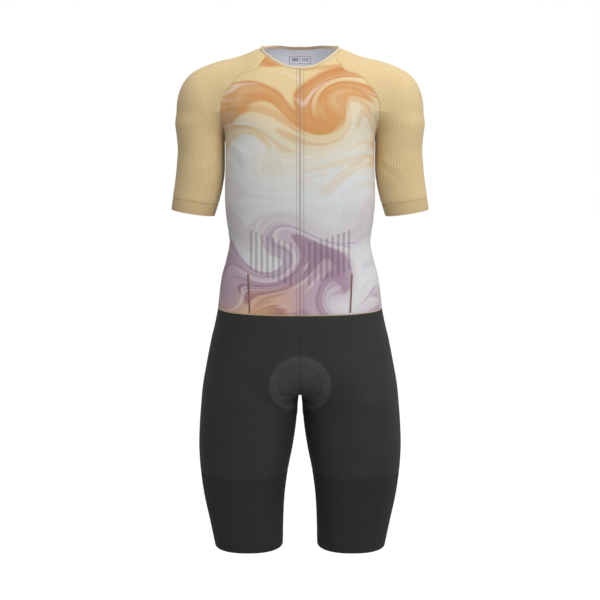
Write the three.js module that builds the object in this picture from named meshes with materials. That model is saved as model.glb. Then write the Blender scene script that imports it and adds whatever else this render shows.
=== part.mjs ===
// A triathlon suit with short raglan sleeves and thigh-length shorts, in the form it has when worn.
// It is hollow and open at the neck, both cuffs and both leg hems. Each cut piece of knitted cloth is
// one closed wall, and neighbouring pieces stand a hair apart along their seams.
import * as THREE from 'three';

// Driving sizes in millimetres. Z is up, X points to the wearer's left and Y to the wearer's back.
// The origin lies between the shoulders, level with the neck end of the shoulder line.
const CLOTH = 1.6; // thickness of the knitted cloth
const SEAM_GAP = 0.3; // clearance between two pieces along a seam
const NECK = { halfWidth: 76, halfDepth: 58, frontSeam: -33, backSeam: 44 }; // seams in degrees
const BINDING = { height: 5.5, thickness: 2, lean: 0.5 };
const UNDERARM = { x: 143.9, y: 2 };
const ARMPIT_TOP = -157; // below this height the sleeve and the body turn away from each other
const CROTCH_Y = 12;
const WAIST_Z = -498;
const OUTER_THIGH_Z = -690; // height at the outside of the leg of the row that starts at the crotch
const LEG_BAND_Z = -826;
const HEM_Z = -980;
const CUFF = { z: -312, height: 23, lean: 81 }; // lean of the arm below the horizontal, in degrees
const SHOULDER_LEAN = 8; // the same at the neck end of the sleeve
const ZIP = { edge: 1.3, chain: 1, tape: 13, tapeThickness: 0.8, chainThickness: 2.6, cover: 0.3 };
const POCKET = { x: 96, width: 4, top: -421, bottom: -494, thickness: 0.9 };
const PAD = { edge: 1.5, middle: 6, frontRow: 5, backRow: 4, columns: 2, ringRows: 2 };
const CLEARANCE = 0.4; // between a hidden piece and the cloth that it lies against

// Numbers of rows and columns of facets in the walls
const QUARTER = 10; // columns in a quarter of the body
const SLEEVE_COLUMNS = 20;
const RAGLAN_ROWS = 9;
const SIDE_ROWS = 16;
const RISE_ROWS = 12;
const INSEAM_ROWS = 7;
const BAND_ROWS = 5;
const SLEEVE_ROWS = 6;
const CROWDING = { rowsToArmpit: 1.35, sleeveLean: 0.9, rowsFromCrotch: 1.5 }; // 1 is even spacing

// Horizontal sections of the left half of the body tube, and of the left leg below the crotch. The
// right half is its mirror image, and "blend" rounds the groove where the two halves meet.
const BODY = [
  { z: 20, outer: 190, inner: -190, front: -48, back: 70, blend: 0 },
  { z: -48, outer: 178, inner: -178, front: -78, back: 91, blend: 0 },
  { z: -75, outer: 165, inner: -165, front: -90, back: 98, blend: 0 },
  { z: -100, outer: 156, inner: -156, front: -99, back: 103, blend: 0 },
  { z: -130, outer: 151, inner: -151, front: -106, back: 106, blend: 0 },
  { z: -165, outer: 143.6, inner: -143.6, front: -111, back: 108, blend: 0 },
  { z: -215, outer: 142.6, inner: -142.6, front: -114, back: 104, blend: 0 },
  { z: -284, outer: 144.2, inner: -144.2, front: -110, back: 97, blend: 0 },
  { z: -331, outer: 140.9, inner: -140.9, front: -103, back: 90, blend: 0 },
  { z: -366, outer: 136, inner: -136, front: -100, back: 86, blend: 0 },
  { z: -401, outer: 142.6, inner: -142.6, front: -99, back: 87, blend: 0 },
  { z: -436, outer: 152.4, inner: -152.4, front: -101, back: 92, blend: 0 },
  { z: -498, outer: 160.8, inner: -160.8, front: -106, back: 102, blend: 0 },
  { z: -532, outer: 167.8, inner: -167, front: -107, back: 109, blend: 0 },
  { z: -556, outer: 174, inner: -168, front: -107, back: 114, blend: 2 },
  { z: -604, outer: 184, inner: -110, front: -105, back: 122, blend: 14 },
  { z: -640, outer: 191, inner: -43, front: -101, back: 124, blend: 24 },
  { z: -660, outer: 194, inner: -8, front: -99, back: 122, blend: 22 },
  { z: -672, outer: 195.2, inner: 2.2, front: -98, back: 119, blend: 9 },
  { z: -690, outer: 196.8, inner: 5, front: -96, back: 114, blend: 5 },
  { z: -727, outer: 199.8, inner: 7.2, front: -93, back: 106, blend: 0 },
  { z: -776, outer: 201.6, inner: 14.2, front: -89, back: 95, blend: 0 },
  { z: -826, outer: 198.8, inner: 24, front: -84, back: 84, blend: 0 },
  { z: -877, outer: 192.2, inner: 30.6, front: -78, back: 76, blend: 0 },
  { z: -927, outer: 182.2, inner: 33.4, front: -73, back: 70, blend: 0 },
  { z: -980, outer: 172, inner: 34.6, front: -68, back: 64, blend: 0 },
  { z: -1010, outer: 166, inner: 35, front: -66, back: 61, blend: 0 },
];
const BODY_ROUNDNESS = 2.35; // 2 is an ellipse, larger is squarer

// Horizontal sections of the left arm tube, which is closed above its first row by a round cap.
// "blend" rounds the valley where the arm meets the body.
const ARM = [
  { z: -120, outer: 236, inner: 108, front: -54, back: 59, blend: 30 },
  { z: -140, outer: 238.8, inner: 132, front: -53, back: 57, blend: 12 },
  { z: -152, outer: 238, inner: 140.5, front: -52, back: 56, blend: 6 },
  { z: -165, outer: 236.4, inner: 144.1, front: -51, back: 55, blend: 3 },
  { z: -192, outer: 234.6, inner: 144.9, front: -49, back: 53, blend: 0 },
  { z: -215, outer: 236.6, inner: 145, front: -48.5, back: 51.5, blend: 0 },
  { z: -238, outer: 238.8, inner: 145.9, front: -48, back: 50, blend: 0 },
  { z: -261, outer: 242.2, inner: 149.6, front: -47, back: 49, blend: 0 },
  { z: -284, outer: 246, inner: 155, front: -46, back: 48, blend: 0 },
  { z: -307, outer: 249.2, inner: 162, front: -45, back: 47, blend: 0 },
  { z: -340, outer: 252, inner: 173, front: -44, back: 46, blend: 0 },
];
const ARM_ROUNDNESS = 2.1;
const ARM_CAP_HEIGHT = 84;

// Height of the shoulder line over each distance from the middle of the body
const SHOULDER = [
  { x: 0, z: 8 },
  { x: 75, z: 0 },
  { x: 107, z: -12 },
  { x: 130, z: -19 },
  { x: 150, z: -25 },
  { x: 190, z: -50 },
  { x: 240, z: -120 },
];
const RIDGE_Y = 14; // the shoulder line lies this far behind the origin
const SHOULDER_ROUND = { front: 58, backAtNeck: 500, backAtArm: 70, neckX: 60, armX: 150, edge: 40 };

// Front and back views of the raglan seam, below its end on the neck
const FRONT_RAGLAN = [
  { x: 84, z: -43 },
  { x: 108, z: -51 },
  { x: 131, z: -72 },
  { x: 145, z: -95 },
  { x: 149.5, z: -127 },
  { x: 145.5, z: -152 },
];
const BACK_RAGLAN = [
  { x: 84, z: -22 },
  { x: 112, z: -48 },
  { x: 133, z: -78 },
  { x: 146, z: -108 },
  { x: 147.8, z: -136 },
  { x: 145, z: -155 },
];

// Places inside the suit from which points of the cloth are looked up
const CHEST_Z = -90;
const PELVIS_Z = -600;
const SLEEVE_SPINE = [
  { x: 58, y: 8, z: -46 },
  { x: 150, y: 5, z: -52 },
];

// Colours as they look on the real cloth
const COLOURS = {
  sleeve: '#cdb183',
  front: '#cfc3b4',
  back: '#c9bfb2',
  trim: '#c2a476',
  shorts: '#343432',
  legBand: '#2c2c2b',
  zip: '#4a3a3a',
  slit: '#7d5648',
  pad: '#5a5a5c',
};

// Reads a table at a value of its first column, smoothly between its rows
function readTable(table, key, value) {
  const last = table.length - 1;
  const falling = table[last][key] < table[0][key] ? -1 : 1;
  let row = 0;
  while (row < last - 1 && falling * value > falling * table[row + 1][key]) row += 1;
  const before = table[Math.max(row - 1, 0)];
  const start = table[row];
  const end = table[row + 1];
  const after = table[Math.min(row + 2, last)];
  const span = end[key] - start[key];
  const part = THREE.MathUtils.clamp((value - start[key]) / span, 0, 1);
  const result = {};
  for (const name of Object.keys(start)) {
    const slopeIn = (end[name] - before[name]) / (end[key] - before[key]);
    const slopeOut = (after[name] - start[name]) / (after[key] - start[key]);
    result[name] = start[name] * (1 + 2 * part) * (1 - part) ** 2
      + end[name] * (3 - 2 * part) * part ** 2
      + span * (slopeIn * part * (1 - part) ** 2 - slopeOut * (1 - part) * part ** 2);
  }
  return result;
}

// Distance from a tube with the given section: negative inside it, positive outside it
function tubeDistance(x, y, section, roundness, capPart = 0) {
  const halfWidth = (section.outer - section.inner) / 2;
  const halfDepth = (section.back - section.front) / 2;
  const across = x - (section.outer + section.inner) / 2;
  const along = y - (section.back + section.front) / 2;
  const sum = Math.abs(across / halfWidth) ** roundness + Math.abs(along / halfDepth) ** roundness
    + capPart ** roundness;
  const share = Math.max(sum, 1e-9) ** (1 / roundness);
  const reach = Math.hypot(across, along, capPart * ARM_CAP_HEIGHT);
  return reach - Math.max(reach, 1e-3) / share;
}

function smoothMin(a, b, blend) {
  const overlap = Math.max(blend - Math.abs(a - b), 0);
  return Math.min(a, b) - (blend > 0 ? overlap ** 2 / (4 * blend) : 0);
}

// The smooth closed form of the body and legs: negative inside, zero on the cloth's outer face
function bodyField({ x, y, z }) {
  const side = Math.abs(x);
  const section = readTable(BODY, 'z', z);
  const halfA = tubeDistance(side, y, section, BODY_ROUNDNESS);
  const halfB = tubeDistance(-side, y, section, BODY_ROUNDNESS);
  const body = smoothMin(halfA, halfB, Math.max(section.blend, 0));
  if (z < ARM[ARM.length - 1].z) return body;

  const behind = y - RIDGE_Y;
  const armShare = THREE.MathUtils.smoothstep(side, SHOULDER_ROUND.neckX, SHOULDER_ROUND.armX);
  const backRound = THREE.MathUtils.lerp(SHOULDER_ROUND.backAtNeck, SHOULDER_ROUND.backAtArm, armShare);
  const round = behind < 0 ? SHOULDER_ROUND.front : backRound;
  const overShoulder = z - readTable(SHOULDER, 'x', side).z + behind ** 2 / (2 * round);
  return -smoothMin(-body, -overShoulder, SHOULDER_ROUND.edge);
}

// The form of both arms
function armField({ x, y, z }) {
  const armSection = readTable(ARM, 'z', Math.min(z, ARM[0].z));
  const capPart = Math.max(z - ARM[0].z, 0) / ARM_CAP_HEIGHT;
  return tubeDistance(Math.abs(x), y, armSection, ARM_ROUNDNESS, capPart);
}

// The form of the whole suit, with a rounded valley between each arm and the body
function suitField(place) {
  const body = bodyField(place);
  if (place.z < ARM[ARM.length - 1].z) return body;
  const { blend } = readTable(ARM, 'z', Math.min(place.z, ARM[0].z));
  return smoothMin(body, armField(place), Math.max(blend, 0));
}

function outwardNormal(point, field = suitField) {
  const step = 0.05; // finer than the slit between an arm and the body
  const normal = new THREE.Vector3();
  for (const axis of ['x', 'y', 'z']) {
    const ahead = point.clone();
    const astern = point.clone();
    ahead[axis] += step;
    astern[axis] -= step;
    normal[axis] = field(ahead) - field(astern);
  }
  return normal.normalize();
}

// Goes from a point inside a form in one direction to its surface, the cloth's outer face
function reachCloth(heart, direction, field = suitField) {
  const stride = 1.5; // shorter than the gap between the legs
  const at = (distance) => heart.clone().addScaledVector(direction, distance);
  let inside = 0;
  let outside = stride;
  while (field(at(outside)) < 0) {
    inside = outside;
    outside += stride;
  }
  for (let halving = 0; halving < 24; halving += 1) {
    const middle = (inside + outside) / 2;
    if (field(at(middle)) < 0) inside = middle;
    else outside = middle;
  }
  return at(outside);
}

// One row of points on the cloth, swept round a heart point inside the suit from one seam point to
// another. "lean" tells how far the row's axis points below the horizontal, in degrees. Where "flat"
// is over 0, the middle of the row lies square to that axis, and more of it the larger "flat" is.
function sweepRow({ heart, lean, from, to, columns, flat, field }) {
  const angle = THREE.MathUtils.degToRad(lean);
  const axis = new THREE.Vector3(Math.cos(angle), 0, -Math.sin(angle));
  const outward = new THREE.Vector3(Math.sin(angle), 0, Math.cos(angle));
  const see = (place) => {
    const offset = place.clone().sub(heart);
    return { turn: Math.atan2(offset.y, offset.dot(outward)), depth: offset.dot(axis) };
  };
  const start = see(from);
  const end = see(to);
  if (start.turn > Math.PI / 2) start.turn -= 2 * Math.PI;
  if (end.turn <= start.turn) end.turn += 2 * Math.PI;
  const row = [];
  for (let column = 0; column <= columns; column += 1) {
    const part = column / columns;
    const turn = THREE.MathUtils.lerp(start.turn, end.turn, part);
    const level = Math.max(1 - Math.sin(Math.PI * part), 0) ** flat;
    const depth = THREE.MathUtils.lerp(start.depth, end.depth, part) * level;
    const direction = outward.clone().multiplyScalar(Math.cos(turn));
    direction.y += Math.sin(turn);
    row.push(reachCloth(heart.clone().addScaledVector(axis, depth), direction, field));
  }
  row[0] = from.clone();
  row[columns] = to.clone();
  return row;
}

// Points spaced along a finely drawn line: evenly, or closer towards its end where crowding is over 1
function spaced(line, parts, crowding = 1) {
  const lengths = [0];
  for (let i = 1; i < line.length; i += 1) lengths.push(lengths[i - 1] + line[i].distanceTo(line[i - 1]));
  const total = lengths[line.length - 1];
  const points = [];
  let i = 0;
  for (let part = 0; part <= parts; part += 1) {
    const goal = total * (1 - (1 - part / parts) ** crowding);
    while (i < line.length - 2 && lengths[i + 1] < goal) i += 1;
    const share = (goal - lengths[i]) / (lengths[i + 1] - lengths[i]);
    points.push(line[i].clone().lerp(line[i + 1], share));
  }
  return points;
}

const point = (x, y, z) => new THREE.Vector3(x, y, z);
const middleY = (z) => {
  const section = readTable(BODY, 'z', z);
  return (section.front + section.back) / 2;
};
const legX = (z) => {
  const section = readTable(BODY, 'z', z);
  return (section.outer + section.inner) / 2;
};

// The neck edge: an upright oval brought up to the cloth
function neckPoint(degrees) {
  const angle = THREE.MathUtils.degToRad(degrees);
  const x = NECK.halfWidth * Math.cos(angle);
  const y = NECK.halfDepth * Math.sin(angle);
  return reachCloth(point(Math.abs(degrees) === 90 ? 0 : x, y, CHEST_Z), point(0, 0, 1));
}
function neckRow(fromDegrees, toDegrees, columns) {
  const row = [];
  for (let i = 0; i <= columns; i += 1) {
    row.push(neckPoint(THREE.MathUtils.lerp(fromDegrees, toDegrees, i / columns)));
  }
  return row;
}

// The point of the cloth straight before (side -1) or behind (side 1) a place inside the suit
const faceAt = (x, z, side) => reachCloth(point(x, middleY(z), z), point(0, side, 0), bodyField);

const underarm = reachCloth(point(UNDERARM.x, UNDERARM.y, ARM[0].z), point(0, 0, -1));
const crotch = reachCloth(point(0, CROTCH_Y, PELVIS_Z), point(0, 0, -1));

// A raglan seam from the neck to the underarm, drawn in the front view and laid on the cloth
function raglanSeam(neckEnd, table, side) {
  const flatPoints = [neckEnd, ...table, underarm].map(({ x, z }) => point(x, 0, z));
  const curve = new THREE.CatmullRomCurve3(flatPoints, false, 'centripetal');
  const line = [neckEnd];
  const samples = 160;
  for (let i = 1; i < samples; i += 1) {
    const flat = curve.getPoint(1 - (1 - i / samples) ** 1.6);
    line.push(reachCloth(point(flat.x, UNDERARM.y, flat.z), point(0, side, 0)));
  }
  line.push(underarm);
  return spaced(line, RAGLAN_ROWS, CROWDING.rowsToArmpit);
}
const frontRaglan = raglanSeam(neckPoint(NECK.frontSeam), FRONT_RAGLAN, -1);
const backRaglan = raglanSeam(neckPoint(NECK.backSeam), BACK_RAGLAN, 1);

// Half of the front (side -1) or of the back (side 1): rows from the neck to the waist seam, each
// from the middle of the body to the raglan seam or the side seam
function bodyRows(side) {
  const seam = side < 0 ? frontRaglan : backRaglan;
  const neckDegrees = side < 0 ? NECK.frontSeam : NECK.backSeam;
  const rows = [neckRow(side * 90, neckDegrees, QUARTER)];
  const top = rows[0][0].z;
  for (let row = 1; row <= RAGLAN_ROWS + SIDE_ROWS; row += 1) {
    const below = Math.max(row - RAGLAN_ROWS, 0) / SIDE_ROWS;
    const above = Math.min(row / RAGLAN_ROWS, 1);
    const z = THREE.MathUtils.lerp(THREE.MathUtils.lerp(top, underarm.z, above), WAIST_Z, below);
    const middle = faceAt(0, z, side);
    const seamPoint = seam[row] ?? reachCloth(point(0, middleY(z), z), point(1, 0, 0), bodyField);
    const heartZ = (z + seamPoint.z) / 2;
    const swept = sweepRow({
      heart: point(0, middleY(heartZ), heartZ),
      lean: 90,
      from: side < 0 ? middle : seamPoint,
      to: side < 0 ? seamPoint : middle,
      columns: QUARTER,
      flat: 0,
      field: row > RAGLAN_ROWS ? bodyField : suitField,
    });
    rows.push(side < 0 ? swept : swept.reverse());
  }
  return rows;
}

// The left sleeve: rows from the neck over the shoulder to the underarm, then rings down to the cuff
function sleeveRows() {
  const armHeart = (z) => {
    const section = readTable(ARM, 'z', Math.min(z, ARM[0].z));
    return point((section.outer + section.inner) / 2, (section.front + section.back) / 2, z);
  };
  const leanRadians = THREE.MathUtils.degToRad(CUFF.lean);
  const ringTop = armHeart(underarm.z);
  ringTop.z += (ringTop.x - underarm.x) / Math.tan(leanRadians);
  const [neckEnd, shoulder] = SLEEVE_SPINE.map(({ x, y, z }) => point(x, y, z));
  const spine = new THREE.QuadraticBezierCurve3(neckEnd, shoulder, ringTop);
  const rows = [neckRow(NECK.frontSeam, NECK.backSeam, SLEEVE_COLUMNS)];
  for (let row = 1; row <= RAGLAN_ROWS; row += 1) {
    const part = row / RAGLAN_ROWS;
    rows.push(sweepRow({
      heart: spine.getPoint(part),
      lean: THREE.MathUtils.lerp(SHOULDER_LEAN, CUFF.lean, part ** CROWDING.sleeveLean),
      from: frontRaglan[row],
      to: backRaglan[row],
      columns: SLEEVE_COLUMNS,
      flat: 1,
    }));
  }
  const ring = (z) => {
    const heart = armHeart(z);
    const inward = point(-Math.sin(leanRadians), 0, -Math.cos(leanRadians));
    const inseam = reachCloth(heart, inward, armField);
    return sweepRow({
      heart,
      lean: CUFF.lean,
      from: inseam,
      to: inseam,
      columns: SLEEVE_COLUMNS,
      flat: 1,
      field: armField,
    });
  };
  const cuffTop = CUFF.z + CUFF.height;
  for (let row = 1; row <= SLEEVE_ROWS; row += 1) {
    rows.push(ring(THREE.MathUtils.lerp(ringTop.z, cuffTop, row / SLEEVE_ROWS)));
  }
  const cuff = [rows[rows.length - 1], ring((cuffTop + CUFF.z) / 2), ring(CUFF.z)];
  return { rows, cuff };
}

// A line on the cloth between two of its points, seen from a heart point inside the suit
function lineOnCloth(heart, from, to) {
  const start = from.clone().sub(heart).normalize();
  const end = to.clone().sub(heart).normalize();
  const angle = start.angleTo(end);
  const line = [];
  for (let i = 0; i <= 120; i += 1) {
    const part = i / 120;
    const direction = start.clone().multiplyScalar(Math.sin((1 - part) * angle))
      .addScaledVector(end, Math.sin(part * angle)).normalize();
    line.push(reachCloth(heart, direction));
  }
  return line;
}

// The left half of the shorts, from the middle of the front round the outside to the middle of the
// back: rows down to the crotch, then rings to the leg band, then the band's own rings
function shortsRows() {
  const riseHeart = point(0, CROTCH_Y, PELVIS_Z);
  const frontRise = spaced(lineOnCloth(riseHeart, faceAt(0, WAIST_Z, -1), crotch), RISE_ROWS);
  const backRise = spaced(lineOnCloth(riseHeart, faceAt(0, WAIST_Z, 1), crotch), RISE_ROWS);
  const rows = [];
  for (let row = 0; row <= RISE_ROWS; row += 1) {
    const part = row / RISE_ROWS;
    const z = THREE.MathUtils.lerp(WAIST_Z, OUTER_THIGH_Z, part);
    rows.push(sweepRow({
      heart: point(legX(OUTER_THIGH_Z) * part, middleY(z), z),
      lean: 90,
      from: frontRise[row],
      to: backRise[row],
      columns: 2 * QUARTER,
      flat: 2,
    }));
  }
  const ring = (outerZ, inseamZ) => {
    const inseam = reachCloth(point(legX(inseamZ), middleY(inseamZ), inseamZ), point(-1, 0, 0));
    const heart = point(legX(outerZ), middleY(outerZ), outerZ);
    return sweepRow({ heart, lean: 90, from: inseam, to: inseam, columns: 2 * QUARTER, flat: 2 });
  };
  for (let row = 1; row <= INSEAM_ROWS; row += 1) {
    const part = row / INSEAM_ROWS;
    const outerZ = THREE.MathUtils.lerp(OUTER_THIGH_Z, LEG_BAND_Z, part);
    rows.push(ring(outerZ, THREE.MathUtils.lerp(crotch.z, LEG_BAND_Z, part ** CROWDING.rowsFromCrotch)));
  }
  const band = [rows[rows.length - 1]];
  for (let row = 1; row <= BAND_ROWS; row += 1) {
    const z = THREE.MathUtils.lerp(LEG_BAND_Z, HEM_Z, row / BAND_ROWS);
    band.push(ring(z, z));
  }
  return { rows, band };
}

// Draws the four edges of a panel in by half a seam's gap, or by the width given for an edge. A moved
// point keeps the normal of its place on the seam, so that two pieces stay parallel along their seam.
function drawIn(rows, widths = {}, ownField = suitField) {
  const { first = SEAM_GAP / 2, last = SEAM_GAP / 2, top = SEAM_GAP / 2, bottom = SEAM_GAP / 2 } = widths;
  const lastRow = rows.length - 1;
  const lastColumn = rows[0].length - 1;
  const shift = (at, alongBefore, alongAfter, inner, width) => {
    const along = alongAfter.clone().sub(alongBefore).normalize();
    const inward = inner.clone().sub(at);
    return inward.addScaledVector(along, -inward.dot(along)).setLength(width);
  };
  return rows.map((row, r) => row.map((at, c) => {
    const moved = at.clone();
    moved.normal = outwardNormal(at, at.z < ARMPIT_TOP ? ownField : suitField);
    const above = rows[Math.max(r - 1, 0)];
    const below = rows[Math.min(r + 1, lastRow)];
    const ahead = row[Math.min(c + 1, lastColumn)];
    const astern = row[Math.max(c - 1, 0)];
    if (c === 0) moved.add(shift(at, above[c], below[c], row[1], first));
    if (c === lastColumn) moved.add(shift(at, above[c], below[c], row[lastColumn - 1], last));
    if (r === 0) moved.add(shift(at, astern, ahead, rows[1][c], top));
    if (r === lastRow) moved.add(shift(at, astern, ahead, rows[lastRow - 1][c], bottom));
    return moved;
  }));
}

// The four-cornered facets between the rows, turned so that they face out of the suit
function facets(rows) {
  const list = [];
  for (let r = 0; r + 1 < rows.length; r += 1) {
    for (let c = 0; c + 1 < rows[r].length; c += 1) {
      list.push([rows[r][c], rows[r + 1][c], rows[r + 1][c + 1], rows[r][c + 1]]);
    }
  }
  return list;
}
function mirrorPoint(place) {
  const mirrored = point(-place.x, place.y, place.z);
  if (place.normal) mirrored.normal = mirrorPoint(place.normal);
  return mirrored;
}
const mirrorFacets = (list) => list.map(([a, b, c, d]) => [a, d, c, b].map(mirrorPoint));

const clothNormal = (corner) => corner.normal ?? outwardNormal(corner);

// A closed wall over a sheet of facets. Its outer face is moved out by "lift", its inner face lies
// "thickness" below that, and its edges are closed.
function closedWall(list, { lift = 0, thickness = CLOTH, edge = thickness, normalAt = clothNormal } = {}) {
  const numbers = new Map();
  const corners = [];
  const faces = list.map((facet) => facet.map((corner) => {
    const name = corner.toArray().map((value) => Math.round(value * 1e4) + 0).join();
    if (!numbers.has(name)) {
      numbers.set(name, corners.length);
      corners.push(corner);
    }
    return numbers.get(name);
  }));
  const open = new Map();
  for (const face of faces) {
    face.forEach((start, i) => {
      const end = face[(i + 1) % 4];
      if (!open.delete(`${end},${start}`)) open.set(`${start},${end}`, [start, end]);
    });
  }
  const onEdge = new Set([...open.values()].flat());
  const outer = [];
  const inner = [];
  corners.forEach((corner, i) => {
    const normal = normalAt(corner);
    const depth = onEdge.has(i) ? edge : thickness;
    outer.push(...corner.clone().addScaledVector(normal, lift).toArray());
    inner.push(...corner.clone().addScaledVector(normal, lift - depth).toArray());
  });
  const count = corners.length;
  const index = [];
  for (const [a, b, c, d] of faces) {
    index.push(a, b, c, a, c, d);
    index.push(a + count, c + count, b + count, a + count, d + count, c + count);
  }
  for (const [start, end] of open.values()) {
    index.push(start, start + count, end + count, start, end + count, end);
  }
  const geometry = new THREE.BufferGeometry();
  geometry.setAttribute('position', new THREE.Float32BufferAttribute([...outer, ...inner], 3));
  geometry.setIndex(index);
  geometry.computeVertexNormals();
  return geometry;
}

const suit = new THREE.Group();
function addPiece(name, geometry, colour, roughness = 0.85) {
  const material = new THREE.MeshStandardMaterial({ color: colour, roughness, metalness: 0 });
  const mesh = new THREE.Mesh(geometry, material);
  mesh.name = name;
  suit.add(mesh);
}
// Adds a piece of the wearer's left side and its mirror image on the right
function addPair(name, list, colour, wall, roughness) {
  addPiece(`${name}_left`, closedWall(list, wall), colour, roughness);
  addPiece(`${name}_right`, closedWall(mirrorFacets(list), wall), colour, roughness);
}

const front = bodyRows(-1);
const back = bodyRows(1);
const sleeve = sleeveRows();
const shorts = shortsRows();

// Front panels, from the zip to the raglan and side seams
addPair('front', facets(drawIn(front, { first: ZIP.edge }, bodyField)), COLOURS.front);

// Back panel, in one piece from the left side to the right
const halfBack = facets(drawIn(back.map((row) => row.toReversed()), { last: 0 }, bodyField));
addPiece('back', closedWall([...halfBack, ...mirrorFacets(halfBack)]), COLOURS.back);

// Sleeves and their cuff bands
addPair('sleeve', facets(drawIn(sleeve.rows, {}, armField)), COLOURS.sleeve);
addPair('cuff', facets(drawIn(sleeve.cuff, { bottom: 0 }, armField)), COLOURS.trim);

// Shorts and their leg bands
addPair('short', facets(drawIn(shorts.rows)), COLOURS.shorts);
addPair('leg_band', facets(drawIn(shorts.band, { bottom: 0 })), COLOURS.legBand);

// Neck binding: a narrow band that stands on the neck edge and is open at the zip
const halfNeck = [...front[0], ...sleeve.rows[0].slice(1), ...back[0].toReversed().slice(1)];
const neckEdge = [...halfNeck, ...halfNeck.toReversed().slice(1).map(mirrorPoint)];
const bindingRise = (at) => {
  const inward = point(-at.x / NECK.halfWidth, -at.y / NECK.halfDepth, 0).setLength(BINDING.lean);
  return inward.add(point(0, 0, 1)).setLength(BINDING.height);
};
const bindingNormal = (at) => {
  const outward = point(at.x / NECK.halfWidth ** 2, at.y / NECK.halfDepth ** 2, 0).normalize();
  const rise = bindingRise(at);
  return outward.addScaledVector(rise, -outward.dot(rise) / rise.lengthSq()).normalize();
};
const bindingRows = [neckEdge.map((at) => at.clone().add(bindingRise(at))), neckEdge];
addPiece('neck_binding', closedWall(facets(drawIn(bindingRows, { top: 0 })), {
  thickness: BINDING.thickness,
  normalAt: bindingNormal,
}), COLOURS.trim);

// Zip: two tapes behind the front edges, and the closed chain in the gap between the edges
const zipRows = (places) => front.map((row) => places.map((x) => faceAt(x, row[0].z, -1)));
addPair('zip_tape', facets(zipRows([ZIP.edge, ZIP.tape])), COLOURS.zip, {
  lift: -CLOTH - CLEARANCE,
  thickness: ZIP.tapeThickness,
});
addPiece('zip_chain', closedWall(facets(zipRows([-ZIP.chain, ZIP.chain])), {
  lift: -ZIP.cover,
  thickness: ZIP.chainThickness,
}), COLOURS.zip, 0.5);

// Pocket edges: narrow upright strips on the fronts, just above the waist seam
const pocketRows = [];
for (let row = 0; row <= 4; row += 1) {
  const z = THREE.MathUtils.lerp(POCKET.top, POCKET.bottom, row / 4);
  pocketRows.push([POCKET.x - POCKET.width / 2, POCKET.x + POCKET.width / 2].map((x) => faceAt(x, z, -1)));
}
addPair('pocket_edge', facets(pocketRows), COLOURS.slit, {
  lift: CLEARANCE + POCKET.thickness,
  thickness: POCKET.thickness,
});

// Seat pad inside the crotch, made from the points of both halves of the shorts and moved inwards
const frontPad = shorts.rows.slice(PAD.frontRow, RISE_ROWS + PAD.ringRows + 1)
  .map((row) => row.slice(0, PAD.columns + 1));
const backPad = shorts.rows.slice(PAD.backRow, RISE_ROWS + PAD.ringRows + 1)
  .map((row) => row.slice(-PAD.columns - 1));
const halfPad = [...facets(frontPad), ...facets(backPad)];
addPiece('seat_pad', closedWall([...halfPad, ...mirrorFacets(halfPad)], {
  lift: -CLOTH - CLEARANCE,
  thickness: PAD.middle,
  edge: PAD.edge,
}), COLOURS.pad);

export default suit;
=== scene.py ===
import math

import bmesh
import bpy
import numpy as np
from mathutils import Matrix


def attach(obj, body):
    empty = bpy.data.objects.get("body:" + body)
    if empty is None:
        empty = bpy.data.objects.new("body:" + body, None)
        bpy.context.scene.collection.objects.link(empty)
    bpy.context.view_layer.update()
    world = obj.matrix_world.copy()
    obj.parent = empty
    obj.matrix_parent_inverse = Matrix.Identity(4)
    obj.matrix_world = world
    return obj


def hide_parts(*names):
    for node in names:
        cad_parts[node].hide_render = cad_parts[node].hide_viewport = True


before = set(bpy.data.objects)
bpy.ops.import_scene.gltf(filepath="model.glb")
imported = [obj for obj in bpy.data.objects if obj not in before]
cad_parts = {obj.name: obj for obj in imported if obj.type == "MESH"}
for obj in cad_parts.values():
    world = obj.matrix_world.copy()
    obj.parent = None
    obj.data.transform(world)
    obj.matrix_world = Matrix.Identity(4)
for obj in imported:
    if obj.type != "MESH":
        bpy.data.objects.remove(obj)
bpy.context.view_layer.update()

# Front panels. Each is one cut piece of polyester rib knit with a marbled dye print, from the zip to the
# raglan seam and the side seam. It is stretched over the body and joined by flat seams.
METRES = 0.001
CLOTH = 1.2  # thickness of the knitted cloth
SEAM_GAP = 0.2  # between two cut edges, under the thread of the seam
RIB = {"pitch": 5.5, "columns": 4, "relief": 0.25}  # upright ribs of the knit
# The oval of the neck, a height inside the body below it, and the raglan seams' ends on it in degrees
NECK = {"half_width": 76, "half_depth": 58, "below": -90, "front_seam": -33, "back_seam": 44}
UNDERARM = {"x": 143.9, "y": 2}
ARMPIT_TOP = -157
WAIST_Z = -498
ROW_PITCH = 3.2  # between two rows of points down the cloth of the top
PANEL_LENGTH = {"neck_to_sweep": 28, "underarm_to_waist": 330}
ROWS_TO_UNDERARM = 34
LAST_SHARE = 0.93  # of the way from the neck to the first swept row, past which no row is added
LONG_STEP = 20  # a longer step between two columns means that a point has strayed

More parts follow.
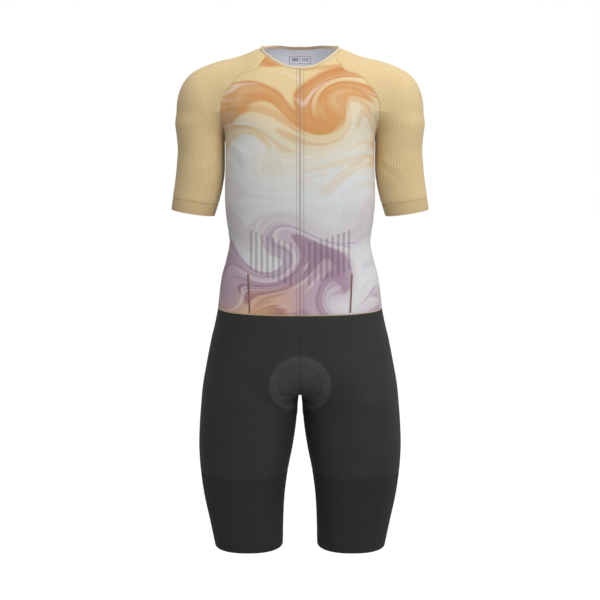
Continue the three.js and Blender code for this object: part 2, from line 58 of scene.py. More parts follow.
# Horizontal sections of the left half of the body tube, and of the left leg below the crotch
# columns: z, outer, inner, front, back, blend
BODY = np.array([
    (20, 190, -190, -48, 70, 0),
    (-48, 178, -178, -78, 91, 0),
    (-75, 165, -165, -90, 98, 0),
    (-100, 156, -156, -99, 103, 0),
    (-130, 151, -151, -106, 106, 0),
    (-165, 143.6, -143.6, -111, 108, 0),
    (-215, 142.6, -142.6, -114, 104, 0),
    (-284, 144.2, -144.2, -110, 97, 0),
    (-331, 140.9, -140.9, -103, 90, 0),
    (-366, 136, -136, -100, 86, 0),
    (-401, 142.6, -142.6, -99, 87, 0),
    (-436, 152.4, -152.4, -101, 92, 0),
    (-498, 160.8, -160.8, -106, 102, 0),
    (-532, 167.8, -167, -107, 109, 0),
    (-556, 174, -168, -107, 114, 2),
    (-604, 184, -110, -105, 122, 14),
    (-640, 191, -43, -101, 124, 24),
    (-660, 194, -8, -99, 122, 22),
    (-672, 195.2, 2.2, -98, 119, 9),
    (-690, 196.8, 5, -96, 114, 5),
    (-727, 199.8, 7.2, -93, 106, 0),
    (-776, 201.6, 14.2, -89, 95, 0),
    (-826, 198.8, 24, -84, 84, 0),
    (-877, 192.2, 30.6, -78, 76, 0),
    (-927, 182.2, 33.4, -73, 70, 0),
    (-980, 172, 34.6, -68, 64, 0),
    (-1010, 166, 35, -66, 61, 0),
])
BODY_ROUNDNESS = 2.35

# Horizontal sections of the left arm tube, with the same columns
ARM = np.array([
    (-120, 236, 108, -54, 59, 30),
    (-140, 238.8, 132, -53, 57, 12),
    (-152, 238, 140.5, -52, 56, 6),
    (-165, 236.4, 144.1, -51, 55, 3),
    (-192, 234.6, 144.9, -49, 53, 0),
    (-215, 236.6, 145, -48.5, 51.5, 0),
    (-238, 238.8, 145.9, -48, 50, 0),
    (-261, 242.2, 149.6, -47, 49, 0),
    (-284, 246, 155, -46, 48, 0),
    (-307, 249.2, 162, -45, 47, 0),
    (-340, 252, 173, -44, 46, 0),
])
ARM_ROUNDNESS = 2.1
ARM_CAP_HEIGHT = 84

# Height of the shoulder line over each distance from the middle of the body
# columns: x, z
SHOULDER = np.array([(0, 8), (75, 0), (107, -12), (130, -19), (150, -25), (190, -50), (240, -120)])
RIDGE_Y = 14
SHOULDER_ROUND = {"front": 58, "back_at_neck": 500, "back_at_arm": 70, "edge": 40}


def read_table(table, values):
    """Reads a table at values of its first column, smoothly between its rows."""
    keys = table[:, 0]
    sign = -1 if keys[-1] < keys[0] else 1
    row = np.clip(np.searchsorted(sign * keys, sign * values) - 1, 0, len(keys) - 2)
    before, start, end, after = (table[np.clip(row + step, 0, len(keys) - 1)] for step in (-1, 0, 1, 2))
    span = end[..., :1] - start[..., :1]
    part = np.clip((values[..., None] - start[..., :1]) / span, 0, 1)
    slope_in = (end - before) / (end[..., :1] - before[..., :1])
    slope_out = (after - start) / (after[..., :1] - start[..., :1])
    return (start * (1 + 2 * part) * (1 - part) ** 2 + end * (3 - 2 * part) * part ** 2
            + span * (slope_in * part * (1 - part) ** 2 - slope_out * (1 - part) * part ** 2))


def tube_distance(x, y, section, roundness, cap_part=0.0):
    """Distance from a tube with the given section: negative inside it."""
    _, outer, inner, front, back, _ = np.moveaxis(section, -1, 0)
    across = x - (outer + inner) / 2
    along = y - (back + front) / 2
    total = (np.abs(across / ((outer - inner) / 2)) ** roundness
             + np.abs(along / ((back - front) / 2)) ** roundness + cap_part ** roundness)
    share = np.maximum(total, 1e-9) ** (1 / roundness)
    reach = np.sqrt(across ** 2 + along ** 2 + (cap_part * ARM_CAP_HEIGHT) ** 2)
    return reach - np.maximum(reach, 1e-3) / share


def smooth_min(a, b, blend):
    overlap = np.maximum(blend - np.abs(a - b), 0)
    return np.minimum(a, b) - overlap ** 2 / (4 * np.maximum(blend, 1e-9))


def body_field(places):
    """The smooth closed form of the body and legs: zero on the cloth's outer face."""
    x, y, z = np.moveaxis(places, -1, 0)
    side = np.abs(x)
    section = read_table(BODY, z)
    body = smooth_min(tube_distance(side, y, section, BODY_ROUNDNESS),
                      tube_distance(-side, y, section, BODY_ROUNDNESS), np.maximum(section[..., 5], 0))
    behind = y - RIDGE_Y
    arm_share = np.clip((side - 60) / 90, 0, 1)
    arm_share = arm_share ** 2 * (3 - 2 * arm_share)
    back_round = SHOULDER_ROUND["back_at_neck"] * (1 - arm_share) + SHOULDER_ROUND["back_at_arm"] * arm_share
    rounding = np.where(behind < 0, SHOULDER_ROUND["front"], back_round)
    over = z - read_table(SHOULDER, side)[..., 1] + behind ** 2 / (2 * rounding)
    capped = -smooth_min(-body, -over, SHOULDER_ROUND["edge"])
    return np.where(z < ARM[-1, 0], body, capped)


def arm_field(places):
    x, y, z = np.moveaxis(places, -1, 0)
    cap_part = np.maximum(z - ARM[0, 0], 0) / ARM_CAP_HEIGHT
    return tube_distance(np.abs(x), y, read_table(ARM, np.minimum(z, ARM[0, 0])), ARM_ROUNDNESS, cap_part)


def suit_field(places):
    z = places[..., 2]
    body = body_field(places)
    blend = np.maximum(read_table(ARM, np.minimum(z, ARM[0, 0]))[..., 5], 0)
    return np.where(z < ARM[-1, 0], body, smooth_min(body, arm_field(places), blend))


def outward_normal(places, field):
    step = 0.05
    slope = np.stack([field(places + step * axis) - field(places - step * axis) for axis in np.eye(3)], -1)
    return slope / np.linalg.norm(slope, axis=-1, keepdims=True)


def reach_cloth(heart, direction, field=suit_field):
    """Goes from points inside a form in the given directions to its surface."""
    heart, direction = np.broadcast_arrays(np.asarray(heart, float), np.asarray(direction, float))
    inside = np.zeros(heart.shape[:-1])
    outside = np.zeros(heart.shape[:-1])
    going = np.ones(heart.shape[:-1], bool)
    for _ in range(300):
        depth = -field(heart[going] + outside[going][:, None] * direction[going])
        moving = depth > 0
        inside[going] = np.where(moving, outside[going], inside[going])
        outside[going] += np.where(moving, np.clip(0.35 * depth, 1.5, 12), 0)
        going[going] = moving
        if not going.any():
            break
    for _ in range(16):
        middle = (inside + outside) / 2
        inner = field(heart + middle[..., None] * direction) < 0
        inside = np.where(inner, middle, inside)
        outside = np.where(inner, outside, middle)
    return heart + outside[..., None] * direction


def settle(places):
    """Brings points that lie near the surface onto it."""
    for _ in range(6):
        places = places - suit_field(places)[..., None] * outward_normal(places, suit_field)
    return places


def sweep_rows(hearts, leans, starts, ends, parts, flat, field):
    """Rows of points on the cloth, swept round heart points from one seam to another, as in the solids."""
    angles = np.radians(leans)[:, None]
    axis = np.concatenate([np.cos(angles), 0 * angles, -np.sin(angles)], 1)
    outward = np.concatenate([np.sin(angles), 0 * angles, np.cos(angles)], 1)

    def see(places):
        offset = places - hearts
        return np.arctan2(offset[:, 1], (offset * outward).sum(1)), (offset * axis).sum(1)

    turn_from, depth_from = see(starts)
    turn_to, depth_to = see(ends)
    turn_from = np.where(turn_from > np.pi / 2, turn_from - 2 * np.pi, turn_from)
    turn_to = np.where(turn_to <= turn_from, turn_to + 2 * np.pi, turn_to)
    turn = turn_from[:, None] + (turn_to - turn_from)[:, None] * parts
    level = np.maximum(1 - np.sin(np.pi * parts), 0) ** flat
    depth = (depth_from[:, None] + (depth_to - depth_from)[:, None] * parts) * level
    direction = outward[:, None] * np.cos(turn)[..., None] + np.array([0, 1, 0]) * np.sin(turn)[..., None]
    rows = reach_cloth(hearts[:, None] + axis[:, None] * depth[..., None], direction, field)
    rows[:, 0] = starts
    rows[:, -1] = ends
    return rows


def along_line(line, parts, crowding=1.0):
    """Points along a finely drawn line, evenly spaced for even parts from 0 to 1."""
    lengths = np.concatenate([[0], np.cumsum(np.linalg.norm(np.diff(line, axis=0), axis=1))])
    goals = lengths[-1] * (1 - (1 - parts) ** crowding)
    return np.stack([np.interp(goals, lengths, line[:, i]) for i in range(3)], 1)


BESIDE_EDGE = [0, 0.5, 1.2, 2.2]  # distances of the close points beside a cut edge
EDGE_POINTS = len(BESIDE_EDGE)


def spread(length, pitch):
    """Parts from 0 to 1 about a pitch apart on a length, with closer ones beside both cut edges."""
    beside = np.array(BESIDE_EDGE) / length
    middle = np.linspace(4 / length, 1 - 4 / length, max(int(length / pitch), 2))
    return np.concatenate([beside, middle, 1 - beside[::-1]])


def place(x, y, z):
    return np.stack(np.broadcast_arrays(np.asarray(x, float), y, z), -1)


def middle_y(z):
    section = read_table(BODY, np.asarray(z, float))
    return (section[..., 3] + section[..., 4]) / 2


def face_at(x, z, side):
    return reach_cloth(place(x, middle_y(z), z), (0, side, 0), body_field)


def neck_row(degrees):
    angles = np.radians(degrees)
    x = np.maximum(NECK["half_width"] * np.cos(angles), 0)
    return reach_cloth(place(x, NECK["half_depth"] * np.sin(angles), NECK["below"]), (0, 0, 1))


underarm = reach_cloth(place(UNDERARM["x"], UNDERARM["y"], ARM[0, 0]), (0, 0, -1))

# The front raglan seam in the front view, below its end on the neck
# columns: x, z
FRONT_RAGLAN = [(84, -43), (108, -51), (131, -72), (145, -95), (149.5, -127), (145.5, -152)]
RAGLAN_SAMPLES = 160
RAGLAN_CROWDING = 1.35
FIRST_SWEPT = 1 / 9  # share of the raglan seam above the first swept row


def raglan_seam(neck_end, table, side):
    """A raglan seam from the neck to the underarm, drawn in the front view and laid on the cloth."""
    flat = np.array([neck_end[[0, 2]], *table, underarm[[0, 2]]], float)
    knots = np.concatenate([[0], np.cumsum(np.linalg.norm(np.diff(flat, axis=0), axis=1) ** 0.5)])
    flat = np.concatenate([[2 * flat[0] - flat[1]], flat, [2 * flat[-1] - flat[-2]]])
    knots = np.concatenate([[2 * knots[0] - knots[1]], knots, [2 * knots[-1] - knots[-2]]])
    line = [neck_end]
    for sample in range(1, RAGLAN_SAMPLES):
        when = (1 - (1 - sample / RAGLAN_SAMPLES) ** 1.6) * (len(flat) - 3)
        first = min(int(when), len(flat) - 4)
        t0, t1, t2, t3 = knots[first:first + 4]
        p0, p1, p2, p3 = flat[first:first + 4]
        t = t1 + (when - first) * (t2 - t1)
        a1 = ((t1 - t) * p0 + (t - t0) * p1) / (t1 - t0)
        a2 = ((t2 - t) * p1 + (t - t1) * p2) / (t2 - t1)
        a3 = ((t3 - t) * p2 + (t - t2) * p3) / (t3 - t2)
        b1 = ((t2 - t) * a1 + (t - t0) * a2) / (t2 - t0)
        b2 = ((t3 - t) * a2 + (t - t1) * a3) / (t3 - t1)
        x, z = ((t2 - t) * b1 + (t - t1) * b2) / (t2 - t1)
        line.append(reach_cloth(place(x, UNDERARM["y"], z), (0, side, 0)))
    line.append(underarm)
    return np.array(line)


front_raglan = raglan_seam(neck_row(np.array(float(NECK["front_seam"]))), FRONT_RAGLAN, -1)


def body_rows(side, seam, neck_degrees, columns):
    """Half of the front (side -1) or back (side 1), from the neck to the waist seam."""
    top_row = neck_row(side * 90 + (neck_degrees - side * 90) * columns)
    above = np.linspace(FIRST_SWEPT, 1, ROWS_TO_UNDERARM)
    below = spread(PANEL_LENGTH["underarm_to_waist"], ROW_PITCH)[EDGE_POINTS:]
    z = np.concatenate([top_row[0, 2] + (underarm[2] - top_row[0, 2]) * above,
                        underarm[2] + (WAIST_Z - underarm[2]) * below])
    side_seam = reach_cloth(place(0, middle_y(z), z), (1, 0, 0), body_field)
    edge = np.concatenate([along_line(seam, above, RAGLAN_CROWDING), side_seam[len(above):]])
    middle = face_at(0, z, side)
    heart_z = (z + edge[:, 2]) / 2
    hearts = place(0, middle_y(heart_z), heart_z)
    starts, ends = (middle, edge) if side < 0 else (edge, middle)
    rows = []
    for field, some in ((suit_field, slice(0, len(above))), (body_field, slice(len(above), None))):
        swept = sweep_rows(hearts[some], np.full(len(hearts[some]), 90.0), starts[some], ends[some],
                           columns if side < 0 else 1 - columns[::-1], 0, field)
        rows.append(swept if side < 0 else swept[:, ::-1])
    rows = np.concatenate(rows)
    # A direction that slips past the body at the armpit ends on the arm, and its point is drawn back
    long_step = np.linalg.norm(np.diff(rows, axis=1), axis=2) > LONG_STEP
    strayed = long_step[:, :-1] & long_step[:, 1:]
    rows[:, 1:-1][strayed] = ((rows[:, :-2] + rows[:, 2:]) / 2)[strayed]

    shares = spread(PANEL_LENGTH["neck_to_sweep"], ROW_PITCH)[:-EDGE_POINTS]
    shares = shares[shares < LAST_SHARE]
    upper = top_row + (rows[0] - top_row) * shares[:, None, None]
    left = settle(upper[:, 0])
    left[0] = top_row[0]
    right = along_line(seam, shares * FIRST_SWEPT, RAGLAN_CROWDING)
    upper += (left - upper[:, 0])[:, None] * (1 - columns)[:, None]
    upper += (right - upper[:, -1])[:, None] * columns[:, None]
    upper[1:, 1:-1] = settle(upper[1:, 1:-1])
    return np.concatenate([upper, rows])


# Two neighbouring pieces butt together in a flat seam. Each cut edge is drawn in by half of the gap under
# the thread, and the cloth dips a little beside it.
SEAM_DIP = {"depth": 0.5, "width": 1.8}


def edge_distance(rows, edges):
    """Distance along the cloth from the nearest of the named edges: first, last, top, bottom."""
    across = np.linalg.norm(np.diff(rows, axis=1), axis=2)
    down = np.linalg.norm(np.diff(rows, axis=0), axis=2)
    nearest = np.full(rows.shape[:2], 1e3)
    if "first" in edges:
        nearest = np.minimum(nearest, np.pad(np.cumsum(across, 1), ((0, 0), (1, 0))))
    if "last" in edges:
        nearest = np.minimum(nearest, np.pad(np.cumsum(across[:, ::-1], 1), ((0, 0), (1, 0)))[:, ::-1])
    if "top" in edges:
        nearest = np.minimum(nearest, np.pad(np.cumsum(down, 0), ((1, 0), (0, 0))))
    if "bottom" in edges:
        nearest = np.minimum(nearest, np.pad(np.cumsum(down[::-1], 0), ((1, 0), (0, 0)))[::-1])
    return nearest


def draw_in(rows, first=SEAM_GAP / 2, last=SEAM_GAP / 2, top=SEAM_GAP / 2, bottom=SEAM_GAP / 2):
    """Draws the four edges of a panel in by the given widths."""
    def shift(edge, inner, width):
        along = np.gradient(edge, axis=0)
        along /= np.linalg.norm(along, axis=1, keepdims=True)
        inward = inner - edge
        inward -= (inward * along).sum(1, keepdims=True) * along
        return width * inward / np.maximum(np.linalg.norm(inward, axis=1, keepdims=True), 1e-6)

    moved = rows.copy()
    moved[:, 0] += shift(rows[:, 0], rows[:, 2], first)
    moved[:, -1] += shift(rows[:, -1], rows[:, -3], last)
    moved[0] += shift(rows[0], rows[2], top)
    moved[-1] += shift(rows[-1], rows[-3], bottom)
    return moved


# The suit is tight, so it has only soft troughs and ridges where the cloth is pulled or pushed: at the
# armpits, the waist, the crotch, under the seat and behind the arms.
# columns: start x, y, z, end x, y, z, half width, height (a trough is negative)
FOLDS = np.array([
    (138, -45, -170, 92, -104, -205, 7, 0.9),
    (141, -35, -182, 100, -98, -232, 6, -0.9),
    (140, -40, -150, 96, -100, -150, 7, -0.7),
    (139, 45, -172, 92, 100, -215, 8, 1.0),
    (141, 36, -186, 104, 92, -246, 6, -1.0),
    (130, -45, -338, 139, 20, -343, 5, -1.4),
    (128, -55, -350, 138, 15, -356, 6, 1.0),
    (40, 88, -372, 128, 45, -360, 8, -1.1),
    (30, 90, -388, 122, 52, -379, 8, 1.0),
    (10, 88, -356, 96, 72, -346, 8, 0.8),
    (9, -70, -662, 46, -96, -646, 4, -2.6),
    (7, -52, -670, 40, -90, -662, 3.5, 1.8),
    (6, -34, -676, 34, -80, -679, 4, -2.6),
    (8, -30, -684, 36, -84, -696, 4, 1.0),
    (20, 108, -672, 100, 118, -700, 7, -1.6),
    (16, 92, -684, 88, 112, -716, 7, 1.3),
    (170, -60, -512, 120, -98, -540, 10, 0.8),
    (150, -34, -205, 196, -50, -232, 5, 0.9),
    (150, -30, -218, 192, -50, -252, 5, -0.9),
    (152, 36, -206, 200, 52, -236, 6, 1.0),
    (152, 32, -220, 196, 51, -256, 6, -1.0),
    (158, -30, -268, 206, -48, -262, 6, -0.7),
    (64, -86, -800, 128, -88, -818, 7, 0.7),
    (50, 86, -790, 140, 92, -776, 9, 1.0),
    (48, 88, -806, 138, 90, -794, 8, -1.0),
    (44, 80, -860, 120, 80, -848, 9, 0.8),
])


def fold_height(places):
    """Height of the soft folds over the smooth form at each place; the right half mirrors the left."""
    mirrored = places * 1.0
    mirrored[..., 0] = np.abs(mirrored[..., 0])
    height = np.zeros(places.shape[:-1])
    for *ends, width, rise in FOLDS:
        start, end = np.array(ends[:3]), np.array(ends[3:])
        span = end - start
        share = ((mirrored - start) @ span) / (span @ span)
        aside = np.linalg.norm(mirrored - start - np.clip(share, 0, 1)[..., None] * span, axis=-1)
        taper = np.clip(1.25 * np.sin(np.pi * np.clip(share * 0.86 + 0.07, 0, 1)), 0, 1) ** 2
        height += rise * taper * np.exp(-(aside / width) ** 2)
    return height


class Panel:
    """A cut piece of cloth on the smooth form: its points, their numbers by row and column, the lengths
    across and down the cloth at each point, and the distance of each point from a seam. On a level
    panel the lengths across are measured in plan, which keeps its ribs upright."""

    def __init__(self, rows, middle, seams, ribs=None, level=True):
        seam = edge_distance(rows, seams)
        step = np.diff(rows, axis=1) * ((1, 1, 0) if level else (1, 1, 1))
        across = np.pad(np.cumsum(np.linalg.norm(step, axis=2), 1), ((0, 0), (1, 0)))
        across -= across[:, middle:middle + 1]
        down = np.linalg.norm(np.diff(rows[:, middle], axis=0), axis=1)
        down = np.broadcast_to(np.concatenate([[0], np.cumsum(down)])[:, None], across.shape)
        self.cut = self.measure(rows)
        if ribs is None:
            self.places = rows.reshape(-1, 3)
            self.numbers = np.arange(across.size).reshape(across.shape)
            self.across, self.down, self.seam = across.ravel(), down.ravel(), seam.ravel()
            return

        # Columns are cut anew along the ribs. Where a slanted seam ends the ribs, the columns past it
        # fall together in one point of the seam.
        pitch = ribs / RIB["columns"]
        first = np.ceil(across[:, :1] / pitch + 0.4).astype(int)
        last = np.floor(across[:, -1:] / pitch - 0.4).astype(int)
        columns = np.arange(first.min() - 1, last.max() + 2)
        kept = np.clip(columns, first - 1, last + 1)
        goals = np.where(kept < first, across[:, :1], np.where(kept > last, across[:, -1:], kept * pitch))
        own = columns == kept
        start = np.concatenate([[0], np.cumsum(own.sum(1))[:-1]])[:, None]
        self.numbers = start + kept - (first - 1)
        sources = [*np.moveaxis(rows, -1, 0), down, seam]
        cut = [np.stack([np.interp(goal, run, line) for goal, run, line in zip(goals, across, source)])
               for source in sources]
        self.places = np.stack([values[own] for values in cut[:3]], -1)
        self.across, self.down, self.seam = goals[own], cut[3][own], cut[4][own]

    @staticmethod
    def measure(rows):
        """Width, length and area of the worn panel."""
        across = np.linalg.norm(np.diff(rows, axis=1), axis=2)
        down = np.linalg.norm(np.diff(rows, axis=0), axis=2)
        first, second = rows[1:, 1:] - rows[:-1, :-1], rows[1:, :-1] - rows[:-1, 1:]
        area = np.linalg.norm(np.cross(first, second), axis=2).sum() / 2
        return across.sum(1).max(), down.sum(0).max(), area

    def normals(self, field):
        own = outward_normal(self.places, field)
        return np.where(self.places[:, 2:] < ARMPIT_TOP, own, outward_normal(self.places, suit_field))

    def ribs(self, pitch):
        """Height of the raised ribs, which fade out beside the seams."""
        turn = (1 - np.cos(2 * np.pi * self.across / pitch)) / 2
        fade = np.clip((self.seam - 1.5) / 3, 0, 1)
        return RIB["relief"] * (1 - turn ** 2) * fade * fade * (3 - 2 * fade)

    def seam_dip(self):
        return -SEAM_DIP["depth"] * np.exp(-(self.seam / SEAM_DIP["width"]) ** 2)


def add_piece(name, points, faces, grain, materials, slots=None, mirrored=False):
    """Makes a mesh object that rides on the suit. Points are in millimetres, grain in metres."""
    points = np.asarray(points) * ((-METRES, METRES, METRES) if mirrored else METRES)
    if mirrored:
        faces = [face[::-1] for face in faces]
    mesh = bpy.data.meshes.new(name)
    mesh.from_pydata(points.tolist(), [], faces)
    layer = mesh.uv_layers.new(name="grain")
    corners = np.empty(len(mesh.loops), np.int64)
    mesh.loops.foreach_get("vertex_index", corners)
    layer.data.foreach_set("uv", np.asarray(grain)[corners].astype(np.float32).ravel())
    for material in materials:
        mesh.materials.append(material)
    if slots is not None:
        mesh.polygons.foreach_set("material_index", np.asarray(slots, np.int32))
    mesh.polygons.foreach_set("use_smooth", np.ones(len(faces), bool))
    mesh.set_sharp_from_angle(angle=math.radians(50))
    piece = bpy.data.objects.new(name, mesh)
    bpy.context.collection.objects.link(piece)
    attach(piece, "root")
    return piece


def add_shell(name, panel, normals, relief, materials, inner_relief=0.0, thickness=CLOTH, mirrored=False):
    """A closed thin shell over a panel: its outer face, its inner face and the cut edges between them."""
    outer = panel.places + normals * np.asarray(relief)[..., None]
    inner = panel.places + normals * (np.asarray(inner_relief)[..., None] - thickness)
    numbers = panel.numbers
    corners = np.stack([numbers[:-1, :-1], numbers[1:, :-1], numbers[1:, 1:], numbers[:-1, 1:]], -1)
    corners = corners.reshape(-1, 4)
    closed_top = corners[:, 0] == corners[:, 3]
    closed_bottom = corners[:, 1] == corners[:, 2]
    quads = corners[~closed_top & ~closed_bottom]
    triangles = np.concatenate([corners[closed_top & ~closed_bottom][:, :3],
                                corners[~closed_top & closed_bottom][:, [0, 1, 3]]])
    border = np.concatenate([numbers[:-1, 0], numbers[-1, :-1], numbers[:0:-1, -1], numbers[0, :0:-1]])
    border = border[border != np.roll(border, 1)]
    ahead = np.roll(border, -1)
    count = len(outer)
    rim = np.stack([border, border + count, ahead + count, ahead], -1)
    faces = []
    slots = []
    for group, slot in ((quads, 0), (triangles, 0), (rim, 0), (quads[:, ::-1] + count, len(materials) - 1),
                        (triangles[:, ::-1] + count, len(materials) - 1)):
        faces += group.tolist()
        slots += [slot] * len(group)
    grain = np.tile(np.stack([panel.across, -panel.down], 1) * METRES, (2, 1))
    return add_piece(name, np.concatenate([outer, inner]), faces, grain, materials, slots, mirrored)


def declare_cloth(node):
    """Hides the part of the model that a cloth piece stands for."""
    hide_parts(node)


def linear(code):
    """Turns an sRGB hex colour into the linear colour that a shader takes."""
    values = [int(code[i:i + 2], 16) / 255 for i in (1, 3, 5)]
    return [v / 12.92 if v <= 0.04045 else ((v + 0.055) / 1.055) ** 2.4 for v in values] + [1.0]


def add_node(tree, kind, *values, stops=(), **named):
    """Adds one node with its settings and links. Values go to its inputs in turn. A keyword that starts
    with a capital names an input, i and a number counts one, and any other is a setting. A node given
    as a value is linked from its first output. Stops are the colours or greys of a colour ramp."""
    node = tree.nodes.new(kind)
    inputs = dict(enumerate(values))
    for key, value in named.items():
        if key[0].isupper():
            inputs[key.replace("_", " ")] = value
        elif key[0] == "i" and key[1:].isdigit():
            inputs[int(key[1:])] = value
        else:
            setattr(node, key, value)
    for key, value in inputs.items():
        socket = node.inputs[key]
        if isinstance(value, bpy.types.Node):
            value = value.outputs[0]
        if isinstance(value, bpy.types.NodeSocket):
            tree.links.new(value, socket)
        elif isinstance(value, str) and value.startswith("#"):
            socket.default_value = linear(value)
        else:
            socket.default_value = value
    if stops:
        while len(node.color_ramp.elements) < len(stops):
            node.color_ramp.elements.new(0.5)
        for element, (position, colour) in zip(node.color_ramp.elements, stops):
            element.position = position
            element.color = linear(colour) if isinstance(colour, str) else (colour, colour, colour, 1)
    return node


def start_material(name, roughness, sheen=0.0):
    """A matte cloth or thread, whose colour and bump are linked later."""
    material = bpy.data.materials.new(name)
    material.use_nodes = True
    tree = material.node_tree
    shader = tree.nodes["Principled BSDF"]
    shader.inputs["Roughness"].default_value = roughness
    shader.inputs["Sheen Weight"].default_value = sheen
    shader.inputs["Sheen Roughness"].default_value = 0.45
    shader.inputs["Specular IOR Level"].default_value = 0.25
    return material, tree, shader


def stripes(tree, length, pitch):
    """Waves from 0 to 1 along a length in metres. The wave is 0 at length 0."""
    turn = add_node(tree, "ShaderNodeMath", length, 2 * math.pi / (pitch * METRES), operation="MULTIPLY")
    wave = add_node(tree, "ShaderNodeMath", turn, operation="COSINE")
    return add_node(tree, "ShaderNodeMath", wave, -0.5, 0.5, operation="MULTIPLY_ADD")


KNIT = {"rib_sharpness": 4.0, "loop_bend": 0.3, "loop_shade": 0.06, "fuzz_shade": 0.08, "fuzz_scale": 900.0}


def knit_material(name, colour_of, pitch, groove, loops, depth, roughness=0.75, sheen=0.2):
    """A knit whose ribs run down the grain. The grooves between its ribs are painted darker, as painted shade
    in them, and the loops of its thread show as rungs. colour_of(tree, across, down, where) gives the colour
    and a relief to add."""
    material, tree, shader = start_material(name, roughness, sheen)
    grain = add_node(tree, "ShaderNodeUVMap", uv_map="grain")
    across, down, _ = add_node(tree, "ShaderNodeSeparateXYZ", grain).outputs
    where = add_node(tree, "ShaderNodeTexCoord").outputs["Object"]
    colour, relief = colour_of(tree, across, down, where)
    wave = stripes(tree, across, pitch)
    hollow = add_node(tree, "ShaderNodeMath", wave, KNIT["rib_sharpness"], operation="POWER")
    bent = add_node(tree, "ShaderNodeMath", hollow, KNIT["loop_bend"] * loops * METRES, down,
                    operation="MULTIPLY_ADD")
    rung = stripes(tree, bent, loops)
    fuzz = add_node(tree, "ShaderNodeTexNoise", Vector=where, Scale=KNIT["fuzz_scale"], Detail=2.0)
    # painted shade: the colour is darkened in the grooves between the ribs, where the bump makes them hollow
    groove_shade = add_node(tree, "ShaderNodeMath", hollow, -groove, 1.0, operation="MULTIPLY_ADD")
    rung_shade = add_node(tree, "ShaderNodeMath", rung, -KNIT["loop_shade"], 1 + KNIT["loop_shade"] / 2,
                          operation="MULTIPLY_ADD")
    fuzz_shade = add_node(tree, "ShaderNodeMath", fuzz, KNIT["fuzz_shade"], 1 - KNIT["fuzz_shade"] / 2,
                          operation="MULTIPLY_ADD")
    shade = add_node(tree, "ShaderNodeMath", groove_shade, rung_shade, operation="MULTIPLY")
    shade = add_node(tree, "ShaderNodeMath", shade, fuzz_shade, operation="MULTIPLY")
    shaded = add_node(tree, "ShaderNodeVectorMath", colour, Scale=shade, operation="SCALE")
    tree.links.new(shaded.outputs[0], shader.inputs["Base Color"])
    height = add_node(tree, "ShaderNodeMath", rung, 0.25, relief, operation="MULTIPLY_ADD")
    height = add_node(tree, "ShaderNodeMath", hollow, -0.6, height, operation="MULTIPLY_ADD")
    bump = add_node(tree, "ShaderNodeBump", Strength=0.9, Distance=depth * METRES, Height=height)
    tree.links.new(bump.outputs[0], shader.inputs["Normal"])
    return material


# Marbled print: paint drawn out in flowing lobes and fine threads, which whirls curl up. It is cream
# and orange over the chest, white in the middle, lilac and mauve over the belly, and apricot below.
# columns: x, y, z of the whirl in millimetres, its reach, its turn in radians
WHIRLS = [
    (62, -100, -118, 62, 2.6),
    (-78, -95, -205, 58, -2.2),
    (96, -80, -300, 70, 1.5),
    (-40, -100, -372, 60, 2.8),
    (64, -100, -452, 50, -2.6),
    (-112, -60, -455, 50, 1.9),
    (-58, 95, -150, 75, -2.4),
    (70, 95, -235, 70, 2.2),
    (-70, 90, -350, 80, 2.0),
    (48, 95, -440, 70, -2.6),
]
# How far the print drifts, in metres, how many lobes and threads it has to a metre along x, y and z, and
# the heights, in metres, of its lowest and its highest colours
MARBLE = {"drift": (0.16, 0.1, 0.13), "lobes": (5.0, 4.0, 17.0), "threads": (7.0, 7.0, 60.0),
          "bottom": -0.49, "top": 0.06}


